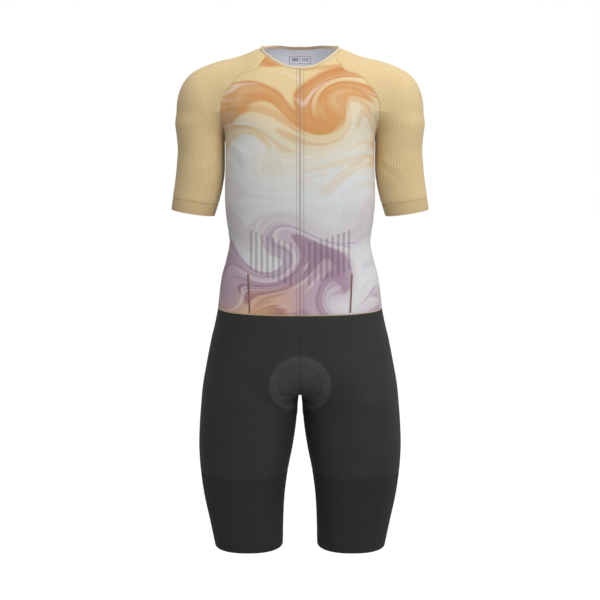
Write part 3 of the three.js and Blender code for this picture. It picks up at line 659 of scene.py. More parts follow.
def marbled(tree, across, down, where):
    """The dye print. Its ground and its paint change down the suit, and a pale edge ends it at the waist."""
    flow = where
    for x, y, z, reach, turn in WHIRLS:
        centre = (x * METRES, y * METRES, z * METRES)
        far = add_node(tree, "ShaderNodeVectorMath", flow, centre, operation="DISTANCE").outputs["Value"]
        far = add_node(tree, "ShaderNodeMath", far, 1 / (reach * METRES), operation="MULTIPLY")
        fall = add_node(tree, "ShaderNodeMath", far, far, operation="MULTIPLY")
        fall = add_node(tree, "ShaderNodeMath", fall, -1.0, operation="MULTIPLY")
        fall = add_node(tree, "ShaderNodeMath", fall, operation="EXPONENT")
        angle = add_node(tree, "ShaderNodeMath", fall, turn, operation="MULTIPLY")
        flow = add_node(tree, "ShaderNodeVectorRotate", Vector=flow, Center=centre, Angle=angle,
                        rotation_type="Y_AXIS")
    slow = add_node(tree, "ShaderNodeTexNoise", Vector=flow, Scale=4.0, Detail=1.0, Roughness=0.4)
    slow = slow.outputs["Color"]
    flow = add_node(tree, "ShaderNodeVectorMath", slow, MARBLE["drift"], flow, operation="MULTIPLY_ADD")
    x, _, z = add_node(tree, "ShaderNodeSeparateXYZ", flow).outputs
    level = add_node(tree, "ShaderNodeMath", x, -1.3, 1.0, operation="MULTIPLY_ADD")
    level = add_node(tree, "ShaderNodeMath", z, level, operation="MULTIPLY")
    height = add_node(tree, "ShaderNodeMapRange", Value=level, From_Min=MARBLE["bottom"],
                      From_Max=MARBLE["top"])
    ground = add_node(tree, "ShaderNodeValToRGB", height,
                      stops=[(0.0, "#e0c8a4"), (0.07, "#d3ad98"), (0.15, "#bda3b1"), (0.24, "#bea8b6"),
                             (0.36, "#d9d8db"), (0.62, "#dde0e1"), (0.72, "#dcd8c8"), (0.84, "#dcc497"),
                             (1.0, "#ddc491")])
    paint = add_node(tree, "ShaderNodeValToRGB", height,
                     stops=[(0.0, "#cc9660"), (0.06, "#a8766f"), (0.16, "#95748a"), (0.3, "#a98da2"),
                            (0.42, "#cfc4cc"), (0.58, "#dbd9d8"), (0.7, "#e0c79c"), (0.8, "#cd9150"),
                            (0.92, "#c57a3b"), (1.0, "#cb8643")])
    drawn = add_node(tree, "ShaderNodeVectorMath", flow, MARBLE["lobes"], operation="MULTIPLY")
    lobe = add_node(tree, "ShaderNodeTexNoise", Vector=drawn, Scale=1.0, Detail=1.5, Roughness=0.45)
    lobe = add_node(tree, "ShaderNodeValToRGB", lobe,
                    stops=[(0.5, 0.0), (0.535, 0.85), (0.62, 0.5), (0.75, 0.95)])
    colour = add_node(tree, "ShaderNodeMix", lobe, i6=ground, i7=paint, data_type="RGBA").outputs[2]
    finer = add_node(tree, "ShaderNodeVectorMath", flow, MARBLE["threads"], operation="MULTIPLY")
    thread = add_node(tree, "ShaderNodeTexNoise", Vector=finer, Scale=1.0, Detail=1.0)
    dark = add_node(tree, "ShaderNodeValToRGB", thread, stops=[(0.38, 0.45), (0.43, 0.0)])
    pale = add_node(tree, "ShaderNodeValToRGB", thread, stops=[(0.6, 0.0), (0.66, 0.55), (0.7, 0.0)])
    colour = add_node(tree, "ShaderNodeMix", dark, i6=colour, i7=paint, data_type="RGBA").outputs[2]
    colour = add_node(tree, "ShaderNodeMix", pale, i6=colour, i7="#ebe2dc", data_type="RGBA").outputs[2]
    z = add_node(tree, "ShaderNodeSeparateXYZ", where).outputs[2]
    low_edge = add_node(tree, "ShaderNodeMapRange", Value=z, From_Min=(WAIST_Z + 2.4) * METRES,
                        From_Max=(WAIST_Z + 1.2) * METRES)
    low_edge = add_node(tree, "ShaderNodeMath", low_edge, 0.8, operation="MULTIPLY")
    edged = add_node(tree, "ShaderNodeMix", low_edge, i6=colour, i7="#e3cba0", data_type="RGBA")
    return edged.outputs[2], 0.0


# Vents: upright stripes of small holes knitted into each front, over the belly
VENT = {"first": 16.5, "pitch": 11.0, "count": 8, "width": 4.6, "inner_top": -360, "outer_top": -338,
        "inner_bottom": -441, "outer_bottom": -414, "hole": 2.3}
PLACKET = 6.0  # width of the plain knit beside the zip


def between(tree, value, low, high, soft):
    """1 between two limits and 0 outside them, with soft ends."""
    up = add_node(tree, "ShaderNodeMapRange", Value=value, From_Min=low - soft, From_Max=low + soft)
    over = add_node(tree, "ShaderNodeMapRange", Value=value, From_Min=high - soft, From_Max=high + soft)
    return add_node(tree, "ShaderNodeMath", up, over, operation="SUBTRACT")


def printed_front(tree, across, down, where):
    """The dye print with the vents, and a darker line beside the zip: painted shade in the groove of its row
    of stitches.
    """
    colour, _ = marbled(tree, across, down, where)
    z = add_node(tree, "ShaderNodeSeparateXYZ", where).outputs[2]
    index = add_node(tree, "ShaderNodeMath", across, 1 / (VENT["pitch"] * METRES),
                     -VENT["first"] / VENT["pitch"], operation="MULTIPLY_ADD")
    off = add_node(tree, "ShaderNodeMath", index, 0.5, operation="PINGPONG")
    half = VENT["width"] / VENT["pitch"] / 2
    stripe = add_node(tree, "ShaderNodeMath", between(tree, off, -1.0, half, 0.05),
                      between(tree, index, -0.5, VENT["count"] - 0.5, 0.02), operation="MULTIPLY")
    share = add_node(tree, "ShaderNodeMath", index, 1 / (VENT["count"] - 1), operation="MULTIPLY")
    rise_top = (VENT["outer_top"] - VENT["inner_top"]) * METRES
    rise_bottom = (VENT["outer_bottom"] - VENT["inner_bottom"]) * METRES
    top = add_node(tree, "ShaderNodeMath", share, rise_top, VENT["inner_top"] * METRES,
                   operation="MULTIPLY_ADD")
    bottom = add_node(tree, "ShaderNodeMath", share, rise_bottom, VENT["inner_bottom"] * METRES,
                      operation="MULTIPLY_ADD")
    below_top = add_node(tree, "ShaderNodeMath", top, z, operation="SUBTRACT")
    above_bottom = add_node(tree, "ShaderNodeMath", z, bottom, operation="SUBTRACT")
    inside = add_node(tree, "ShaderNodeMath", below_top, above_bottom, operation="MINIMUM")
    inside = add_node(tree, "ShaderNodeMapRange", Value=inside, From_Min=0.0, From_Max=METRES)
    stripe = add_node(tree, "ShaderNodeMath", stripe, inside, operation="MULTIPLY")
    holes = add_node(tree, "ShaderNodeMath", stripes(tree, across, VENT["hole"]),
                     stripes(tree, z, VENT["hole"] * 1.3), operation="MULTIPLY")
    holes = add_node(tree, "ShaderNodeMath", holes, stripe, operation="MULTIPLY")
    # painted shade: the stripes are painted darker and their holes darker still, as the unlit inside seen
    # through the open knit
    hole_shade = add_node(tree, "ShaderNodeMath", holes, 0.55, operation="MULTIPLY")
    vent_shade = add_node(tree, "ShaderNodeMath", stripe, 0.27, hole_shade, operation="MULTIPLY_ADD")
    # painted shade: a darker line in the groove that the row of stitches beside the zip presses in
    beside_zip = between(tree, across, (PLACKET - 0.7) * METRES, (PLACKET + 0.7) * METRES, 0.3 * METRES)
    stitch_groove_shade = add_node(tree, "ShaderNodeMath", beside_zip, 0.3, operation="MULTIPLY")
    shade = add_node(tree, "ShaderNodeMath", vent_shade, stitch_groove_shade, operation="MAXIMUM")
    colour = add_node(tree, "ShaderNodeMix", shade, i6=colour, i7="#5d5560", data_type="RGBA").outputs[2]
    return colour, add_node(tree, "ShaderNodeMath", holes, -2.0, operation="MULTIPLY")


def dyed(code, other):
    """A dyed cloth whose colour drifts a little between two shades."""
    def colour_of(tree, across, down, where):
        drift = add_node(tree, "ShaderNodeTexNoise", Vector=where, Scale=14.0, Detail=3.0)
        return add_node(tree, "ShaderNodeMix", drift, i6=code, i7=other, data_type="RGBA").outputs[2], 0.0
    return colour_of


# finish: polyester rib knit with a dye print, faint sheen
front_knit = knit_material("printed_rib_knit_front", printed_front, RIB["pitch"], groove=0.04, loops=1.4,
                           depth=0.15)
# finish: undyed inner face of the same knit, pale grey
inner_knit = knit_material("pale_inner_rib_knit", dyed("#d2d3d9", "#c8c9d0"), 5.2, groove=0.16, loops=1.4,
                           depth=0.3, sheen=0.0)
ZIP_EDGE = 0.9  # from the middle of the zip to the cut edge of each front
fine = np.linspace(0, 1, 121)
front_rows = body_rows(-1, front_raglan, NECK["front_seam"], fine)
front_panel = Panel(draw_in(front_rows, first=ZIP_EDGE), 0, ("last", "top", "bottom"), RIB["pitch"])
front_normals = front_panel.normals(body_field)
folds = fold_height(front_panel.places)
placket = np.clip((front_panel.across - PLACKET) / 2, 0, 1)
stitch_groove = -0.25 * np.exp(-((front_panel.across - PLACKET) / 0.8) ** 2)
front_relief = folds + front_panel.ribs(RIB["pitch"]) * placket + front_panel.seam_dip() + stitch_groove
for side, mirrored in (("left", False), ("right", True)):
    piece = add_shell(f"front_cloth_{side}", front_panel, front_normals, front_relief,
                      [front_knit, inner_knit], folds, mirrored=mirrored)
    declare_cloth(f"front_{side}")

# Back panel. One cut piece of the same printed knit runs from side seam to side seam and up to the neck.
# It is joined as the fronts are, and its pale inner face shows through the neck.

# The back raglan seam in the front view, below its end on the neck
# columns: x, z
BACK_RAGLAN = [(84, -22), (112, -48), (133, -78), (146, -108), (147.8, -136), (145, -155)]
back_raglan = raglan_seam(neck_row(np.array(float(NECK["back_seam"]))), BACK_RAGLAN, 1)
# finish: the fronts' rib knit with its dye print, faint sheen
back_knit = knit_material("printed_rib_knit_back", marbled, RIB["pitch"], groove=0.04, loops=1.4,
                          depth=0.15)
half_back = body_rows(1, back_raglan, NECK["back_seam"], fine)
back_rows = np.concatenate([half_back[:, :0:-1] * (-1, 1, 1), half_back], 1)[:, ::-1]
back_panel = Panel(draw_in(back_rows), len(fine) - 1, ("first", "last", "top", "bottom"), RIB["pitch"])
folds = fold_height(back_panel.places)
back_relief = folds + back_panel.ribs(RIB["pitch"]) + back_panel.seam_dip()
piece = add_shell("back_cloth", back_panel, back_panel.normals(body_field), back_relief,
                  [back_knit, inner_knit], folds)
declare_cloth("back")

# Sleeves. Each raglan sleeve is one cut piece of sand rib knit that reaches over the shoulder to the neck.
# Its ribs run down the arm, and a flat seam closes it under the arm. Its inner face is undyed.
CUFF = {"z": -312, "height": 23, "lean": 81, "row_pitch": 2.4}
SHOULDER_LEAN = 8
SLEEVE_NECK_TO_SWEEP = 22
ROWS_OVER_SHOULDER = 72
# Points inside the shoulder, from which and round which the rows over it are swept
SPINE = {"start": (58, 8, -46), "bend": (150, 5, -52)}


def sleeve_rows(columns):
    """The left sleeve from the neck over the shoulder to the underarm and down to the cuff's end."""
    lean_radians = math.radians(CUFF["lean"])

    def arm_heart(z):
        section = read_table(ARM, np.minimum(np.asarray(z, float), ARM[0, 0]))
        return place((section[..., 1] + section[..., 2]) / 2, (section[..., 3] + section[..., 4]) / 2, z)

    ring_top = arm_heart(underarm[2])
    ring_top[2] += (ring_top[0] - underarm[0]) / math.tan(lean_radians)
    above = np.linspace(FIRST_SWEPT, 1, ROWS_OVER_SHOULDER)
    t = above[:, None]
    spine = ((1 - t) ** 2 * np.array(SPINE["start"]) + 2 * t * (1 - t) * np.array(SPINE["bend"])
             + t ** 2 * ring_top)
    swept = sweep_rows(spine, SHOULDER_LEAN + (CUFF["lean"] - SHOULDER_LEAN) * above ** 0.9,
                       along_line(front_raglan, above, RAGLAN_CROWDING),
                       along_line(back_raglan, above, RAGLAN_CROWDING), columns, 1, suit_field)
    top_row = neck_row(NECK["front_seam"] + (NECK["back_seam"] - NECK["front_seam"]) * columns)
    shares = spread(SLEEVE_NECK_TO_SWEEP, ROW_PITCH)[:-EDGE_POINTS]
    shares = shares[shares < LAST_SHARE]
    left = along_line(front_raglan, shares * FIRST_SWEPT, RAGLAN_CROWDING)
    right = along_line(back_raglan, shares * FIRST_SWEPT, RAGLAN_CROWDING)
    upper = top_row + (swept[0] - top_row) * shares[:, None, None]
    upper += (left - upper[:, 0])[:, None] * (1 - columns)[:, None]
    upper += (right - upper[:, -1])[:, None] * columns[:, None]
    upper[1:, 1:-1] = settle(upper[1:, 1:-1])

    def rings(z):
        hearts = arm_heart(z)
        inward = (-math.sin(lean_radians), 0, -math.cos(lean_radians))
        inseam = reach_cloth(hearts, inward, arm_field)
        return sweep_rows(hearts, np.full(len(z), float(CUFF["lean"])), inseam, inseam, columns, 1, arm_field)

    cuff_top = CUFF["z"] + CUFF["height"]
    down = spread(ring_top[2] - cuff_top, ROW_PITCH)[EDGE_POINTS:]
    lower = rings(ring_top[2] + (cuff_top - ring_top[2]) * down)
    cuff = rings(cuff_top - CUFF["height"] * spread(CUFF["height"], CUFF["row_pitch"]))
    return np.concatenate([upper, swept, lower]), cuff


# finish: dyed polyester rib knit, faint sheen
sand_knit = knit_material("sand_rib_knit", dyed("#e0c796", "#d8bf8e"), RIB["pitch"], groove=0.12,
                          loops=1.4, depth=0.3)
sleeve_lattice, cuff_lattice = sleeve_rows(fine)
sleeve_middle = len(fine) // 2
sleeve_panel = Panel(draw_in(sleeve_lattice), sleeve_middle, ("first", "last", "top", "bottom"),
                     RIB["pitch"], level=False)
sleeve_normals = sleeve_panel.normals(arm_field)
sleeve_folds = fold_height(sleeve_panel.places)
sleeve_relief = sleeve_folds + sleeve_panel.ribs(RIB["pitch"]) + sleeve_panel.seam_dip()
for side, mirrored in (("left", False), ("right", True)):
    piece = add_shell(f"sleeve_cloth_{side}", sleeve_panel, sleeve_normals, sleeve_relief,
                      [sand_knit, inner_knit], sleeve_folds, mirrored=mirrored)
    declare_cloth(f"sleeve_{side}")

# Cuffs. A turned band of denser plain knit is sewn to each sleeve's end and grips the arm. The knit lies
# double there, so the band is thicker than the sleeve.
CUFF_CLOTH = 1.5
# finish: dense plain elastic knit, matte
sand_band = knit_material("sand_band_knit", dyed("#d6bc8e", "#ceb486"), 1.5, groove=0.12, loops=1.1,
                          depth=0.12, roughness=0.8, sheen=0.1)
cuff_panel = Panel(draw_in(cuff_lattice[:, ::2], bottom=0), sleeve_middle // 2, ("first", "last", "top"))
cuff_normals = cuff_panel.normals(arm_field)
for side, mirrored in (("left", False), ("right", True)):
    piece = add_shell(f"cuff_cloth_{side}", cuff_panel, cuff_normals, cuff_panel.seam_dip(), [sand_band],
                      thickness=CUFF_CLOTH, mirrored=mirrored)
    declare_cloth(f"cuff_{side}")

# Shorts. Each half is one cut piece of dense dark knit, from the front's middle round the outside of the
# thigh to the back's middle, closed along the inseam. The pad inside shows through as a low relief.
CROTCH_Y = 12
HIPS_Z = -600
OUTER_THIGH_Z = -690
LEG_BAND_Z = -826
HEM_Z = -980
SHORTS_PITCH = 3.6  # between two rows of points
SHORTS_LENGTH = {"waist_to_crotch": 270, "crotch_to_band": 153}
crotch = reach_cloth(place(0, CROTCH_Y, HIPS_Z), (0, 0, -1))
shorts_upper_parts = np.append(spread(SHORTS_LENGTH["waist_to_crotch"], SHORTS_PITCH)[:-EDGE_POINTS], 1.0)
shorts_lower_parts = spread(SHORTS_LENGTH["crotch_to_band"], SHORTS_PITCH)[EDGE_POINTS:]


def leg_x(z):
    section = read_table(BODY, np.asarray(z, float))
    return (section[..., 1] + section[..., 2]) / 2


def shorts_rows(columns):
    """The left half of the shorts with its leg band, from the front's middle round to the back's."""
    heart = place(0, CROTCH_Y, HIPS_Z)

    def rise(side):
        start, end = (v / np.linalg.norm(v) for v in (face_at(0, WAIST_Z, side) - heart, crotch - heart))
        angle = np.arccos(start @ end)
        share = np.linspace(0, 1, 241)[:, None]
        return reach_cloth(heart, (np.sin((1 - share) * angle) * start + np.sin(share * angle) * end)
                           / np.sin(angle))

    part = shorts_upper_parts
    z = WAIST_Z + (OUTER_THIGH_Z - WAIST_Z) * part
    hearts = place(leg_x(np.full(len(z), float(OUTER_THIGH_Z))) * part, middle_y(z), z)
    upper = sweep_rows(hearts, np.full(len(z), 90.0), along_line(rise(-1), part), along_line(rise(1), part),
                       columns, 2, suit_field)

    def rings(outer_z, inseam_z):
        inseam = reach_cloth(place(leg_x(inseam_z), middle_y(inseam_z), inseam_z), (-1, 0, 0))
        hearts = place(leg_x(outer_z), middle_y(outer_z), outer_z)
        return sweep_rows(hearts, np.full(len(outer_z), 90.0), inseam, inseam, columns, 2, suit_field)

    part = shorts_lower_parts
    outer_z = OUTER_THIGH_Z + (LEG_BAND_Z - OUTER_THIGH_Z) * part
    lower = rings(outer_z, crotch[2] + (LEG_BAND_Z - crotch[2]) * part ** 1.5)
    z = LEG_BAND_Z + (HEM_Z - LEG_BAND_Z) * spread(LEG_BAND_Z - HEM_Z, SHORTS_PITCH)
    return np.concatenate([upper, lower]), rings(z, z)


# Columns round the thigh as shares from 0 to 1, closer beside the inseam
shorts_columns = np.concatenate([[0, 0.0012, 0.003], np.linspace(0.008, 0.992, 118), [0.997, 0.9988, 1]])
shorts_lattice, band_lattice = shorts_rows(shorts_columns)
PAD_RING = {"front_z": -634, "back_z": -640, "outer": 59, "inner": 40, "back_width": 78, "rise": 1.2}


def dark_dyed(code, other, ring):
    """A charcoal dye. Where the cloth is drawn over the pad's ring it is stretched, and a little paler."""
    def colour_of(tree, across, down, where):
        drift = add_node(tree, "ShaderNodeTexNoise", Vector=where, Scale=18.0, Detail=4.0)
        colour = add_node(tree, "ShaderNodeMix", drift, i6=code, i7=other, data_type="RGBA").outputs[2]
        if not ring:
            return colour, 0.0
        x, y, z = add_node(tree, "ShaderNodeSeparateXYZ", where).outputs
        over = add_node(tree, "ShaderNodeMath", z, -PAD_RING["front_z"] * METRES, operation="ADD")
        away = add_node(tree, "ShaderNodeCombineXYZ", x, i2=over)
        away = add_node(tree, "ShaderNodeVectorMath", away, operation="LENGTH").outputs["Value"]
        rim = between(tree, away, -1.0, PAD_RING["outer"] * METRES, 1.5 * METRES)
        groove = between(tree, away, (PAD_RING["inner"] - 1.5) * METRES, (PAD_RING["inner"] + 1.5) * METRES,
                         METRES)
        before = add_node(tree, "ShaderNodeMapRange", Value=y, From_Min=CROTCH_Y * METRES, From_Max=0.0)
        paler = add_node(tree, "ShaderNodeMath", groove, -0.5, rim, operation="MULTIPLY_ADD")
        paler = add_node(tree, "ShaderNodeMath", paler, before, operation="MULTIPLY")
        paler = add_node(tree, "ShaderNodeMath", paler, 0.15, operation="MULTIPLY")
        worn = add_node(tree, "ShaderNodeMix", paler, i6=colour, i7="#7d7d7a", data_type="RGBA")
        return worn.outputs[2], 0.0
    return colour_of


# finish: dense charcoal warp knit, soft sheen
shorts_knit = knit_material("charcoal_warp_knit", dark_dyed("#2c2c2a", "#353533", True), 1.3, groove=0.1,
                            loops=0.9, depth=0.12, roughness=0.62, sheen=0.03)


def pad_relief(places):
    """Low relief of the pad under the shorts: raised inside its rim, with one groove round its middle."""
    x, y, z = np.moveaxis(places, -1, 0)
    front = y < CROTCH_Y
    wide = np.where(front, PAD_RING["outer"], PAD_RING["back_width"])
    ring = np.hypot(x / wide, (z - np.where(front, PAD_RING["front_z"], PAD_RING["back_z"])) / wide)
    step = 1 / (1 + np.exp((ring - 1) * 45))
    groove = np.exp(-((ring - PAD_RING["inner"] / PAD_RING["outer"]) / 0.035) ** 2)
    return PAD_RING["rise"] * (step - 0.5 * groove)


INSEAM_GAP = 0.01  # at the inseam and the middle seams, whose edges are hardly drawn in
shorts_panel = Panel(draw_in(shorts_lattice, INSEAM_GAP, INSEAM_GAP), len(shorts_columns) // 2,
                     ("first", "last", "top", "bottom"))
shorts_normals = shorts_panel.normals(suit_field)
shorts_folds = fold_height(shorts_panel.places) + pad_relief(shorts_panel.places)
shorts_relief = shorts_folds + shorts_panel.seam_dip()
for side, mirrored in (("left", False), ("right", True)):
    piece = add_shell(f"shorts_cloth_{side}", shorts_panel, shorts_normals, shorts_relief, [shorts_knit],
                      shorts_folds, mirrored=mirrored)
    declare_cloth(f"short_{side}")

# Leg bands. A broad elastic band of charcoal knit is sewn to each half of the shorts and grips the thigh
# above the knee. Two rows of stitches run over it above its hem.
# finish: charcoal elastic band knit with crosswise courses, matte
band_knit = knit_material("charcoal_band_knit", dark_dyed("#282826", "#2f2f2d", False), 1.3, groove=0.05,
                          loops=3.2, depth=0.3, roughness=0.7, sheen=0.02)
band_panel = Panel(draw_in(band_lattice, INSEAM_GAP, INSEAM_GAP, bottom=0), len(shorts_columns) // 2,
                   ("first", "last", "top"))
band_normals = band_panel.normals(suit_field)
band_folds = fold_height(band_panel.places)
for side, mirrored in (("left", False), ("right", True)):
    piece = add_shell(f"leg_band_cloth_{side}", band_panel, band_normals, band_folds + band_panel.seam_dip(),
                      [band_knit], band_folds, mirrored=mirrored)
    declare_cloth(f"leg_band_{side}")

# Neck binding. A narrow strip of plain knit is folded over the neck's cut edge and stitched down, from
# one side of the zip round the back of the neck to the other side.
BINDING = {"height": 5.5, "lean": 0.5}
# Section of the folded strip
# columns: outward, up
BINDING_SECTION = [(-0.15, 0.2), (0.1, 0.7), (0.0, 1.3), (0.15, 2.0), (0.2, 3.2), (0.1, 4.3), (-0.25, 5.1),
                   (-1.0, 5.45), (-1.75, 5.1), (-2.05, 4.3), (-2.1, 3.0), (-2.0, 1.2), (-1.85, 0.3),
                   (-1.2, 0.3), (-1.25, 3.8), (-1.0, 4.4), (-0.75, 3.8), (-0.8, 0.3)]


def add_band(name, path, outward, upward, section, materials, ends=None, mirrored=False):
    """A closed band along a path, with a section given outward and upward and caps on its ends."""
    section = np.array(section)
    scale = np.ones(len(path)) if ends is None else ends
    points = (path[:, None] + outward[:, None] * (section[:, :1] * scale[:, None, None])
              + upward[:, None] * (section[:, 1:] * scale[:, None, None]))
    count, sides = points.shape[:2]
    numbers = np.arange(count * sides).reshape(count, sides)
    ahead = np.roll(numbers, -1, axis=1)
    faces = np.stack([numbers[:-1], ahead[:-1], ahead[1:], numbers[1:]], -1).reshape(-1, 4).tolist()
    faces += [numbers[0, ::-1].tolist(), numbers[-1].tolist()]
    length = np.concatenate([[0], np.cumsum(np.linalg.norm(np.diff(path, axis=0), axis=1))])
    around = np.concatenate([[0], np.cumsum(np.linalg.norm(np.diff(section, axis=0), axis=1))])
    grain = np.stack(np.broadcast_arrays(length[:, None], around), -1).reshape(-1, 2) * METRES
    return add_piece(name, points.reshape(-1, 3), faces, grain, materials, mirrored=mirrored)


def binding_dye_and_nape_shade(tree, across, down, where):
    """Pale sand dye, darkened to taupe at the nape as painted shade, where the strip's inner side lies in
    shadow.
    """
    back = add_node(tree, "ShaderNodeSeparateXYZ", where).outputs[1]
    nape_shade = add_node(tree, "ShaderNodeMapRange", Value=back, From_Min=0.02, From_Max=0.05)
    # painted shade: the strip's colour turns taupe towards the back of the neck
    dye = add_node(tree, "ShaderNodeMix", nape_shade, i6="#e2cda8", i7="#a5917c", data_type="RGBA")
    return dye.outputs[2], 0.0


# finish: plain elastic knit folded double, matte
binding_knit = knit_material("sand_binding_knit", binding_dye_and_nape_shade, 1.6, groove=0.1, loops=1.1, depth=0.1,
                             roughness=0.8, sheen=0.1)
neck_line = neck_row(np.linspace(-90, 90, 161))
neck_line = np.concatenate([neck_line, neck_line[-2::-1] * (-1, 1, 1)])
neck_line[0, 0], neck_line[-1, 0] = SEAM_GAP / 2, -SEAM_GAP / 2
lean = neck_line * (-1 / NECK["half_width"], -1 / NECK["half_depth"], 0)
lean *= BINDING["lean"] / np.linalg.norm(lean, axis=1, keepdims=True)
binding_up = lean + (0, 0, 1)
binding_up /= np.linalg.norm(binding_up, axis=1, keepdims=True)
binding_out = neck_line * (1 / NECK["half_width"] ** 2, 1 / NECK["half_depth"] ** 2, 0)
binding_out /= np.linalg.norm(binding_out, axis=1, keepdims=True)
binding_out -= (binding_out * binding_up).sum(1, keepdims=True) * binding_up
binding_out /= np.linalg.norm(binding_out, axis=1, keepdims=True)
piece = add_band("neck_binding_cloth", neck_line, binding_out, binding_up, BINDING_SECTION, [binding_knit])
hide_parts("neck_binding")

# Zip tapes. Two woven tapes lie behind the front edges and carry the coil in the gap between them.
TAPE = {"edge": 0.2, "width": 13, "thickness": 0.8, "behind": 1.3, "columns": 8}


def woven(tree, across, down, where):
    """A fine twill: slanted threads, painted a little lighter on their raised crowns as a painted highlight.
    """
    slant = add_node(tree, "ShaderNodeMath", across, 1.6, down, operation="MULTIPLY_ADD")
    threads = stripes(tree, slant, 0.9)
    # painted highlight: the raised threads are lighter
    shade = add_node(tree, "ShaderNodeMix", threads, i6="#b9b0b2", i7="#cbc4c6", data_type="RGBA")
    return shade.outputs[2], threads


# finish: woven polyester tape, matte
tape_weave = knit_material("woven_zip_tape", woven, 0.8, groove=0.1, loops=0.6, depth=0.1,
                           roughness=0.85, sheen=0.0)
tape_x = np.linspace(TAPE["edge"], TAPE["width"], TAPE["columns"])
tape_rows = np.stack([face_at(x, front_rows[:, 0, 2], -1) for x in tape_x], 1)
tape_panel = Panel(tape_rows, 0, ())
tape_normals = tape_panel.normals(body_field)
for side, mirrored in (("left", False), ("right", True)):
    piece = add_shell(f"zip_tape_weave_{side}", tape_panel, tape_normals, -TAPE["behind"], [tape_weave],
                      -TAPE["behind"], TAPE["thickness"], mirrored)
    declare_cloth(f"zip_tape_{side}")

# Pocket edges. A slit opens the front pocket on each side, just above the waist seam. Its two lips are
# a flat elastic strip folded in the middle.
POCKET = {"top_x": 97.5, "bottom_x": 94.5, "top": -421, "bottom": -494, "rise": 0.4, "points": 60}
# Section of the two lips with the slit between them
# columns: across, outward
POCKET_SECTION = [(-1.9, 0.0), (-1.8, 0.55), (-1.1, 0.9), (-0.45, 0.75), (-0.15, 0.3), (0.15, 0.3),
                  (0.45, 0.75), (1.1, 0.9), (1.8, 0.55), (1.9, 0.0)]


def slit_edges(tree, across, down, where):
    """Brown lips, painted near black at the slit between them as painted shade in the slit; the section is
    measured down the grain.
    """
    slit_shade = between(tree, down, 1.9 * METRES, 3.0 * METRES, 0.3 * METRES)
    # painted shade: the slit between the lips is darkened
    lips = add_node(tree, "ShaderNodeMix", slit_shade, i6="#a5807a", i7="#2e2022", data_type="RGBA")
    return lips.outputs[2], 0.0


# finish: flat elastic edging, brown, matte
pocket_elastic = knit_material("brown_edge_elastic", slit_edges, 1.0, groove=0.15, loops=0.9, depth=0.12,
                               roughness=0.8, sheen=0.05)
pocket_x = np.linspace(POCKET["top_x"], POCKET["bottom_x"], POCKET["points"])
pocket_path = face_at(pocket_x, np.linspace(POCKET["top"], POCKET["bottom"], POCKET["points"]), -1)
pocket_out = outward_normal(pocket_path, body_field)
pocket_across = np.cross(pocket_out, np.gradient(pocket_path, axis=0))
pocket_across /= -np.linalg.norm(pocket_across, axis=1, keepdims=True)
points_from_end = np.minimum(np.arange(POCKET["points"]), np.arange(POCKET["points"])[::-1])
pocket_ends = np.clip(points_from_end / 2 + 0.35, 0, 1) ** 0.5
pocket_path += pocket_out * POCKET["rise"]
for side, mirrored in (("left", False), ("right", True)):
    piece = add_band(f"pocket_edge_elastic_{side}", pocket_path, pocket_across, pocket_out, POCKET_SECTION,
                     [pocket_elastic], pocket_ends, mirrored)
    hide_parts(f"pocket_edge_{side}")

# Seat pad. A moulded foam pad, covered in brushed knit, lies inside the crotch on the cloth's inner face.
# It is thick in its middle, with pressed channels, and thin at its stitched rim.
PAD = {"edge": 1.5, "middle": 6.0, "behind": 2.0}
# Reach of the pad as shares of the shorts' rows and columns
PAD_SHARE = {"front_top": 0.42, "back_top": 0.34, "below_crotch": 0.285, "width": 0.1, "columns": 15}
PAD_CORNER = 2.6  # how square the pad's outline is: 2 is an ellipse
# Pressed channels. columns: share of the way from the rim to the middle, half width, depth
PAD_CHANNELS = [(0.5, 0.05, 1.0), (0.24, 0.035, 0.7)]


def pad_part(back):
    """One quarter of the pad: rows from its upper rim past the crotch, columns from the middle outwards."""
    top = PAD_SHARE["back_top"] if back else PAD_SHARE["front_top"]
    count = len(shorts_upper_parts)
    upper = np.flatnonzero(shorts_upper_parts >= top)
    lower = np.flatnonzero(shorts_lower_parts <= PAD_SHARE["below_crotch"]) + count
    rows = shorts_lattice[np.concatenate([upper, lower])]
    shares = np.linspace(0, PAD_SHARE["width"], PAD_SHARE["columns"])
    at = 1 - shares if back else shares
    cut = np.stack([np.stack([np.interp(at, shorts_columns, row[:, axis]) for axis in range(3)], -1)
                    for row in rows])
    height = np.concatenate([np.linspace(-1, 0, len(upper)), np.linspace(0, 1, len(lower) + 1)[1:]])
    out = np.abs(height[:, None]) ** PAD_CORNER + (shares / PAD_SHARE["width"]) ** PAD_CORNER
    return cut, np.clip(1 - out ** (1 / PAD_CORNER), 0, 1)


